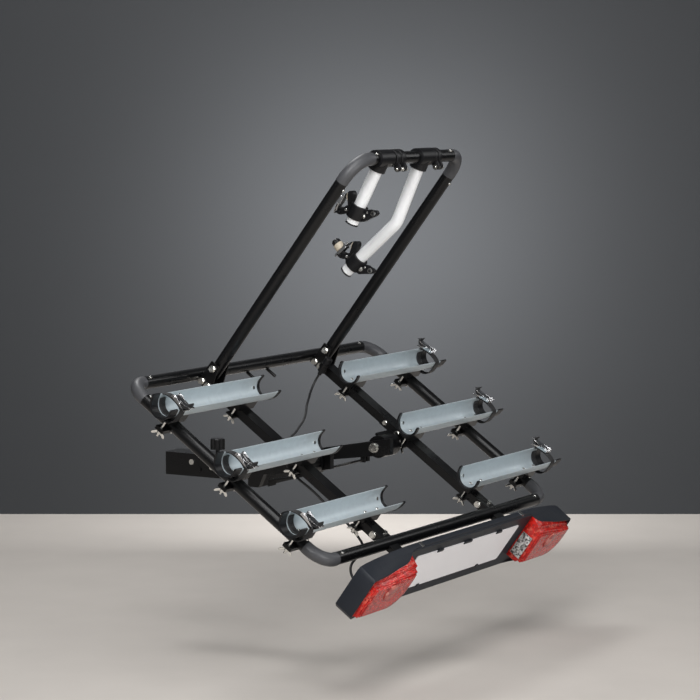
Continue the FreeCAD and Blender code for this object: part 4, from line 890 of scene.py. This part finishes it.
def makeBuckle():
    half, sheet = buckle["half"], buckle["sheet"]
    parts = [sidePlate(buckle["cheek"], x, sheet, 0.0014, 2) for x in (-half, half - sheet)]
    deep, y, z = buckle["base"]
    parts.append(startBlock((2 * half, deep, sheet), (0, y, z)))
    parts.append(makeRod(buckle["drum"], -half + buckle["drumIn"], half - buckle["drumIn"]))
    for x, out in zip((-half, half), buckle["rivetsAt"]):
        parts.append(turnProfile([(r, x + out + a) for r, a in buckle["rivet"]], "X", steps=16))
    for x, out in zip((-half, half), buckle["wheelsAt"]):
        parts.append(sidePlate(toothedOutline(*buckle["wheel"]), x + out, buckle["wheelWide"]))
    piece = joinUp(parts)
    softEdges(piece, 0.0003, 1, 40)
    return piece


def makeBuckleLever():
    half, wide = buckle["half"] - buckle["bladeIn"], buckle["armWide"]
    blade = flatBar(buckle["blade"], half, 0.0)
    piece = joinUp([blade] + [sidePlate(buckle["arm"], x, wide, 0.0008, 2) for x in (-half, half - wide)])
    softEdges(piece, 0.0004, 2, 35)
    return piece


def copyOf(piece):
    deselectAll()
    twin = piece.copy()
    twin.data = piece.data.copy()
    bpy.context.scene.collection.objects.link(twin)
    return twin


def makeBuckles():
    frameOne = makeBuckle()
    leverOne = makeBuckleLever()
    for side in ("left", "right"):
        for row in rack["rows"]:
            place = bucklePlace(side, row)
            name = side + "_" + row
            handOver(copyOf(frameOne), "strap_buckle_" + name, "chrome", "platform", place,
                     replaced=("strap_buckles",))
            handOver(copyOf(leverOne), "ratchet_lever_" + name, "chrome", "buckle_lever_" + name,
                     place, replaced=("buckle_lever_" + name,))
    for piece in (frameOne, leverOne):
        bpy.data.objects.remove(piece)
    print("buckles made")


# Wing nuts under the channel clamps, drawn from the plate's underside down the bolt's axis
wing = {
    "bolt": 0.028,
    "plate": 0.004,
    "under": (("_inner", 0.262, 0.010), ("_outer", 0.556, 0.015)),
    "turns": (112, 95, 128, 118, 80, 104, 136, 122),
    "nut": ((0.0030, 0.0), (0.0058, 0.0), (0.0048, -0.0078), (0.0030, -0.0078)),
    "ear": ((0.0035, -0.0008), (0.0085, -0.0022), (0.0150, -0.0072), (0.0172, -0.0118), (0.0150, -0.0140),
            (0.0108, -0.0122), (0.0072, -0.0086), (0.0035, -0.0066)),
    "earHalf": 0.0012,
}


def makeWingNuts():
    nut = turnProfile(wing["nut"], "Z", steps=24)
    half = wing["earHalf"]
    ears = [cutPlate([(way * a, -half, b) for a, b in wing["ear"]], (0, 2 * half, 0), 0.0016, 3)
            for way in (-1, 1)]
    first = joinUp([nut] + ears)
    softEdges(first, 0.0005, 2, 35)
    turns = iter(wing["turns"] * 2)
    for row, y in zip(rack["rows"], rack["channelY"]):
        for spot, x, low in wing["under"]:
            for side, way in (("right", 1), ("left", -1)):
                place = Matrix.Translation((way * x - wing["bolt"], y, -low - wing["plate"]))
                place = onRack @ place @ Matrix.Rotation(math.radians(next(turns)), 4, "Z")
                handOver(copyOf(first), "wing_nut_" + side + "_" + row + spot, "zincBright", "platform",
                         place, replaced=("wing_nuts",))
    bpy.data.objects.remove(first)
    print("wing nuts made")


# Clamp heads, drawn round the arm's axis z: ear behind, fixed jaw in front, moving jaw under it
head = {
    "ring": ((0.01535, -0.0168), (0.0205, -0.0170), (0.0215, -0.0160), (0.0215, 0.0160), (0.0205, 0.0170),
             (0.01535, 0.0168)),
    "earHalf": 0.0055,
    "ear": ((-0.0170, -0.0140), (-0.0285, -0.0125), (-0.0400, 0.0030), (-0.0500, 0.0145), (-0.0535, 0.0235),
            (-0.0475, 0.0285), (-0.0370, 0.0240), (-0.0285, 0.0215), (-0.0210, 0.0150), (-0.0170, 0.0135)),
    "bolt": (-0.0222, 0.0006),
    "rivet": (-0.0272, 0.0120),
    "eye": (-0.0420, 0.0175),
    "eyeR": 0.0042,
    "eyelet": ((0.0042, 0.0), (0.0064, 0.0), (0.0060, 0.0008), (0.0044, 0.0008)),
    "buttons": (("bolt", 0.0034, 0.0026, 6), ("bolt", 0.0058, 0.0008, 24), ("rivet", 0.0024, 0.0012, 16)),
    "jawHalf": 0.0095,
    "upper": ((0.0170, 0.0030), (0.0170, 0.0155), (0.0235, 0.0320), (0.0290, 0.0380), (0.0365, 0.0365),
              (0.0385, 0.0290), (0.0355, 0.0205), (0.0300, 0.0130), (0.0260, 0.0040)),
    "upperPad": ((0.0300, 0.0130), (0.0355, 0.0205), (0.0388, 0.0290), (0.0405, 0.0285), (0.0380, 0.0190),
                 (0.0320, 0.0115)),
    "lug": ((0.0170, 0.0020), (0.0265, 0.0030), (0.0305, -0.0030), (0.0305, -0.0110), (0.0240, -0.0160),
            (0.0170, -0.0155)),
    "lugWide": 0.0042,
    "lower": ((0.0205, -0.0110), (0.0245, -0.0045), (0.0300, -0.0060), (0.0370, -0.0120), (0.0465, -0.0160),
              (0.0490, -0.0215), (0.0440, -0.0300), (0.0360, -0.0285), (0.0270, -0.0220)),
    "lowerHalf": 0.0046,
    "lowerPadHalf": 0.0044,
    "lowerPad": ((0.0330, -0.0090), (0.0370, -0.0120), (0.0465, -0.0160), (0.0475, -0.0135),
                 (0.0385, -0.0090), (0.0345, -0.0065)),
    "toe": (0.019, 0.0120, 0.0050),
    "toeAt": (0, 0.0415, -0.0235),
    "toeTurn": math.radians(-27),
    "pin": (0.0245, -0.0080),
    "strap": ((0.0310, 0.0345), (0.0385, 0.0295), (0.0435, 0.0200), (0.0460, 0.0080), (0.0468, -0.0050),
              (0.0470, -0.0150), (0.0455, -0.0240)),
    "strapSize": (0.015, 0.0020, 0.004),
    "strapEnds": ((0, 0.0465, -0.008), (0, 0.0460, -0.024)),
    "stub": {"short": 0.0320, "long": 0.0376},
    "cap": ((0.0, 0.0), (0.0, 0.0032), (0.0146, 0.0032), (0.0152, 0.0022), (0.0162, 0.0020),
            (0.0162, -0.0010)),
}


def headPlace(name):
    joint = joints[name + "_head_turn"]
    up = Vector(joint["axis"])
    return Matrix.Translation(joint["pos_m"]) @ Matrix.Rotation(-math.atan2(up.y, up.z), 4, "X")


def button(radius, height, y, z, x, steps=24):
    sign = 1 if x > 0 else -1
    return turnProfile([(0.0, x), (radius, x), (radius, x + sign * height * 0.6),
                        (radius * 0.75, x + sign * height), (0.0, x + sign * height)], "X", (0, y, z), steps)


def makeHead(name, place):
    ring = turnProfile(head["ring"], "Z", steps=48)
    ear = flatBar(head["ear"], head["earHalf"], 0.003)
    eye = makeRod(head["eyeR"], -0.02, 0.02, (0, *head["eye"]), 24)
    hole = ear.modifiers.new("hole", "BOOLEAN")
    hole.object = eye
    hole.operation = "DIFFERENCE"
    applyAll(ear)
    bpy.data.objects.remove(eye)
    upper = flatBar(head["upper"], head["jawHalf"], 0.003)
    lugs = [sidePlate(head["lug"], x, head["lugWide"], 0.002, 3)
            for x in (-head["jawHalf"], head["jawHalf"] - head["lugWide"])]
    body = joinUp([ring, ear, upper] + lugs)
    softEdges(body, 0.0007, 2, 30)
    handOver(body, "head_body_" + name, "blackPlastic", name + "_head", place,
             replaced=("head_" + name,))
    bright = []
    for sx in (-1, 1):
        for spot, radius, height, steps in head["buttons"]:
            bright.append(button(radius, height, *head[spot], sx * head["earHalf"], steps))
        bright.append(turnProfile([(r, sx * (head["earHalf"] + a)) for r, a in head["eyelet"]], "X",
                                  (0, *head["eye"]), 28))
        bright.append(button(0.0034, 0.0016, *head["pin"], sx * head["jawHalf"], 18))
    handOver(joinUp(bright), "head_bolts_" + name, "zincBright", name + "_head", place)
    pad = flatBar(head["upperPad"], head["jawHalf"] - 0.001, 0.0006)
    softEdges(pad, 0.0005)
    handOver(pad, "head_pad_" + name, "rollerBeige", name + "_head", place)


def makeLowerJaw(name, place):
    jaw = flatBar(head["lower"], head["lowerHalf"])
    toe = startBlock(head["toe"], (0, 0, 0))
    toe.data.transform(Matrix.Translation(head["toeAt"]) @ Matrix.Rotation(head["toeTurn"], 4, "X"))
    piece = joinUp([jaw, toe])
    softEdges(piece, 0.0010, 2, 30)
    handOver(piece, "jaw_body_" + name, "blackPlastic", name + "_jaw", place,
             replaced=("jaw_" + name,))
    pad = flatBar(head["lowerPad"], head["lowerPadHalf"], 0.0006)
    softEdges(pad, 0.0004)
    handOver(pad, "jaw_pad_" + name, "softBlack", name + "_jaw", place)


def makeHeadStrap(name, place):
    path = smoothPath([Vector((0, a, b)) for a, b in head["strap"]], 6)
    ribbon = layLadder(path, *head["strapSize"])
    softEdges(ribbon, 0.0003, 1, 50)
    handOver(ribbon, "head_strap_" + name, "softBlack", None, place)
    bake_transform(ribbon)


# The short head's ratchet; its sheet and sides are the long head's too
ratchet = {
    "sheet": 0.0012,
    "sides": (-0.0095, 0.0083),
    "cheek": ((0.0430, 0.0215), (0.0560, 0.0190), (0.0575, 0.0080), (0.0530, -0.0030), (0.0450, -0.0050),
              (0.0445, 0.0080)),
    "pin": (0.0515, 0.0125),
    "pinR": 0.0032,
    "pinHalf": 0.0105,
    "back": ((0.0170, 0.0012, 0.0200), (0, 0.0485, 0.0070)),
    "lever": ((0.0535, 0.0060), (0.0530, -0.0240), (0.0500, -0.0320), (0.0512, -0.0325), (0.0548, -0.0240),
              (0.0550, 0.0060)),
    "leverHalf": 0.0075,
}


def twoCheeks(outline, corner, segments):
    return [sidePlate(outline, x, ratchet["sheet"], corner, segments) for x in ratchet["sides"]]


def makeShortRatchet(place):
    parts = twoCheeks(ratchet["cheek"], 0.002, 3)
    parts.append(makeRod(ratchet["pinR"], -ratchet["pinHalf"], ratchet["pinHalf"], (0, *ratchet["pin"])))
    parts.append(startBlock(*ratchet["back"]))
    parts.append(flatBar(ratchet["lever"], ratchet["leverHalf"], 0.0))
    piece = joinUp(parts)
    softEdges(piece, 0.0003, 1, 40)
    handOver(piece, "head_ratchet_short", "chrome", "short_head", place)


# The long head's ratchet, and the barrel and knob turned about a line along y
knob = {
    "cheek": ((0.0420, 0.0040), (0.0560, 0.0100), (0.0570, 0.0070), (0.0500, 0.0010), (0.0490, -0.0300),
              (0.0465, -0.0340), (0.0430, -0.0330)),
    "back": ((0.0190, 0.0012, 0.0340), (0, 0.0488, -0.0130)),
    "axisZ": -0.012,
    "barrel": ((0.0, 0.0500), (0.0115, 0.0500), (0.0125, 0.0510), (0.0125, 0.0650), (0.0115, 0.0660),
               (0.0, 0.0660)),
    "ribs": (16, 0.0102, 0.0112),
    "ribsAt": 0.0655,
    "ribsLong": 0.0100,
    "dome": ((0.0, 0.0750), (0.0098, 0.0750), (0.0080, 0.0785), (0.0, 0.0795)),
}


def makeLongKnob(place):
    piece = joinUp(twoCheeks(knob["cheek"], 0.0012, 2) + [startBlock(*knob["back"])])
    softEdges(piece, 0.0003, 1, 40)
    handOver(piece, "head_ratchet_long", "chrome", "long_jaw", place)
    axis = (0, 0, knob["axisZ"])
    barrel = turnProfile(knob["barrel"], "Y", axis, 36)
    softEdges(barrel, 0.0004, 1, 40)
    handOver(barrel, "head_barrel_long", "rollerBeige", "long_jaw", place)
    ribs = [(a, knob["ribsAt"], knob["axisZ"] + b) for a, b in toothedOutline(*knob["ribs"])]
    cap = cutPlate(ribs, (0, knob["ribsLong"], 0))
    piece = joinUp([cap, turnProfile(knob["dome"], "Y", axis)])
    softEdges(piece, 0.0004, 1, 30)
    handOver(piece, "head_knob_long", "blackPlastic", "long_jaw", place)


# Band clamps beside the arms' saddles: ribs round the tube, two lugs below them and a bolt through both
band = {
    "inner": 0.0152,
    "rib": 0.0209,
    "groove": 0.0178,
    "round": 0.001,
    "ribs": {"short": ((-0.1030, -0.0845), (-0.0790, -0.0600)),
             "long": ((0.0865, 0.1010), (0.1050, 0.1180))},
    "lug": ((-0.0060, -0.0150), (-0.0090, -0.0290), (-0.0150, -0.0330), (-0.0230, -0.0300),
            (-0.0260, -0.0210), (-0.0190, -0.0090)),
    "lugWide": 0.006,
    "lugsAt": (0.004, -0.010),
    "bolt": (-0.0170, -0.0255),
    "rod": 0.0030,
    "rodOut": 0.003,
    "nut": 0.0058,
    "nutHalf": 0.0018,
    "nutsAt": ((0.0005, 0.0165), (-0.0145, 0.0015)),
}


def makeBands():
    for name, ribs in band["ribs"].items():
        place = Matrix.Translation((0, *joints[name + "_arm_swing"]["pos_m"][1:]))
        start, end = ribs[0][0], ribs[-1][1]
        top, soft = band["rib"], band["round"]
        outline = [(band["inner"], start)]
        for a, b in ribs:
            outline += [(band["groove"], a), (top - soft, a), (top, a + soft), (top, b - soft),
                        (top - soft, b), (band["groove"], b)]
        ring = turnProfile(outline + [(band["inner"], end)], "X", steps=48)
        lugs = [sidePlate(band["lug"], x + out, band["lugWide"], 0.003, 3)
                for x, out in zip((start, end), band["lugsAt"])]
        clamp = joinUp([ring] + lugs)
        softEdges(clamp, 0.0005, 2, 35)
        handOver(clamp, "band_clamp_" + name, "blackPlastic", name + "_arm", place)
        axis, out, half = (0, *band["bolt"]), band["rodOut"], band["nutHalf"]
        nuts = [x + way for x, ways in zip((start, end), band["nutsAt"]) for way in ways]
        bolts = [makeRod(band["rod"], start - out, end + out, axis, 18)]
        bolts += [makeRod(band["nut"], x - half, x + half, axis, 6) for x in nuts]
        handOver(joinUp(bolts), "band_bolt_" + name, "zincBright", name + "_arm", place)
    print("bands set")


def makeHeads():
    for name in ("short", "long"):
        place = headPlace(name)
        makeHead(name, place)
        makeLowerJaw(name, place)
        makeHeadStrap(name, place)
        ring = turnProfile([(r, a - head["stub"][name]) for r, a in head["cap"]], "Z", steps=40)
        bpy.ops.object.shade_smooth_by_angle(angle=math.radians(40))
        handOver(ring, "arm_cap_" + name, "blackPlastic", name + "_arm", place)
    makeShortRatchet(headPlace("short"))
    makeLongKnob(headPlace("long"))
    print("heads dressed")


makeStage()
paintCadNodes()
makeCable()
makeLightBoard()
makeLamp("left")
makeLamp("right")
makeWheelStraps()
makeBuckles()
makeWingNuts()
makeHeads()
makeBands()
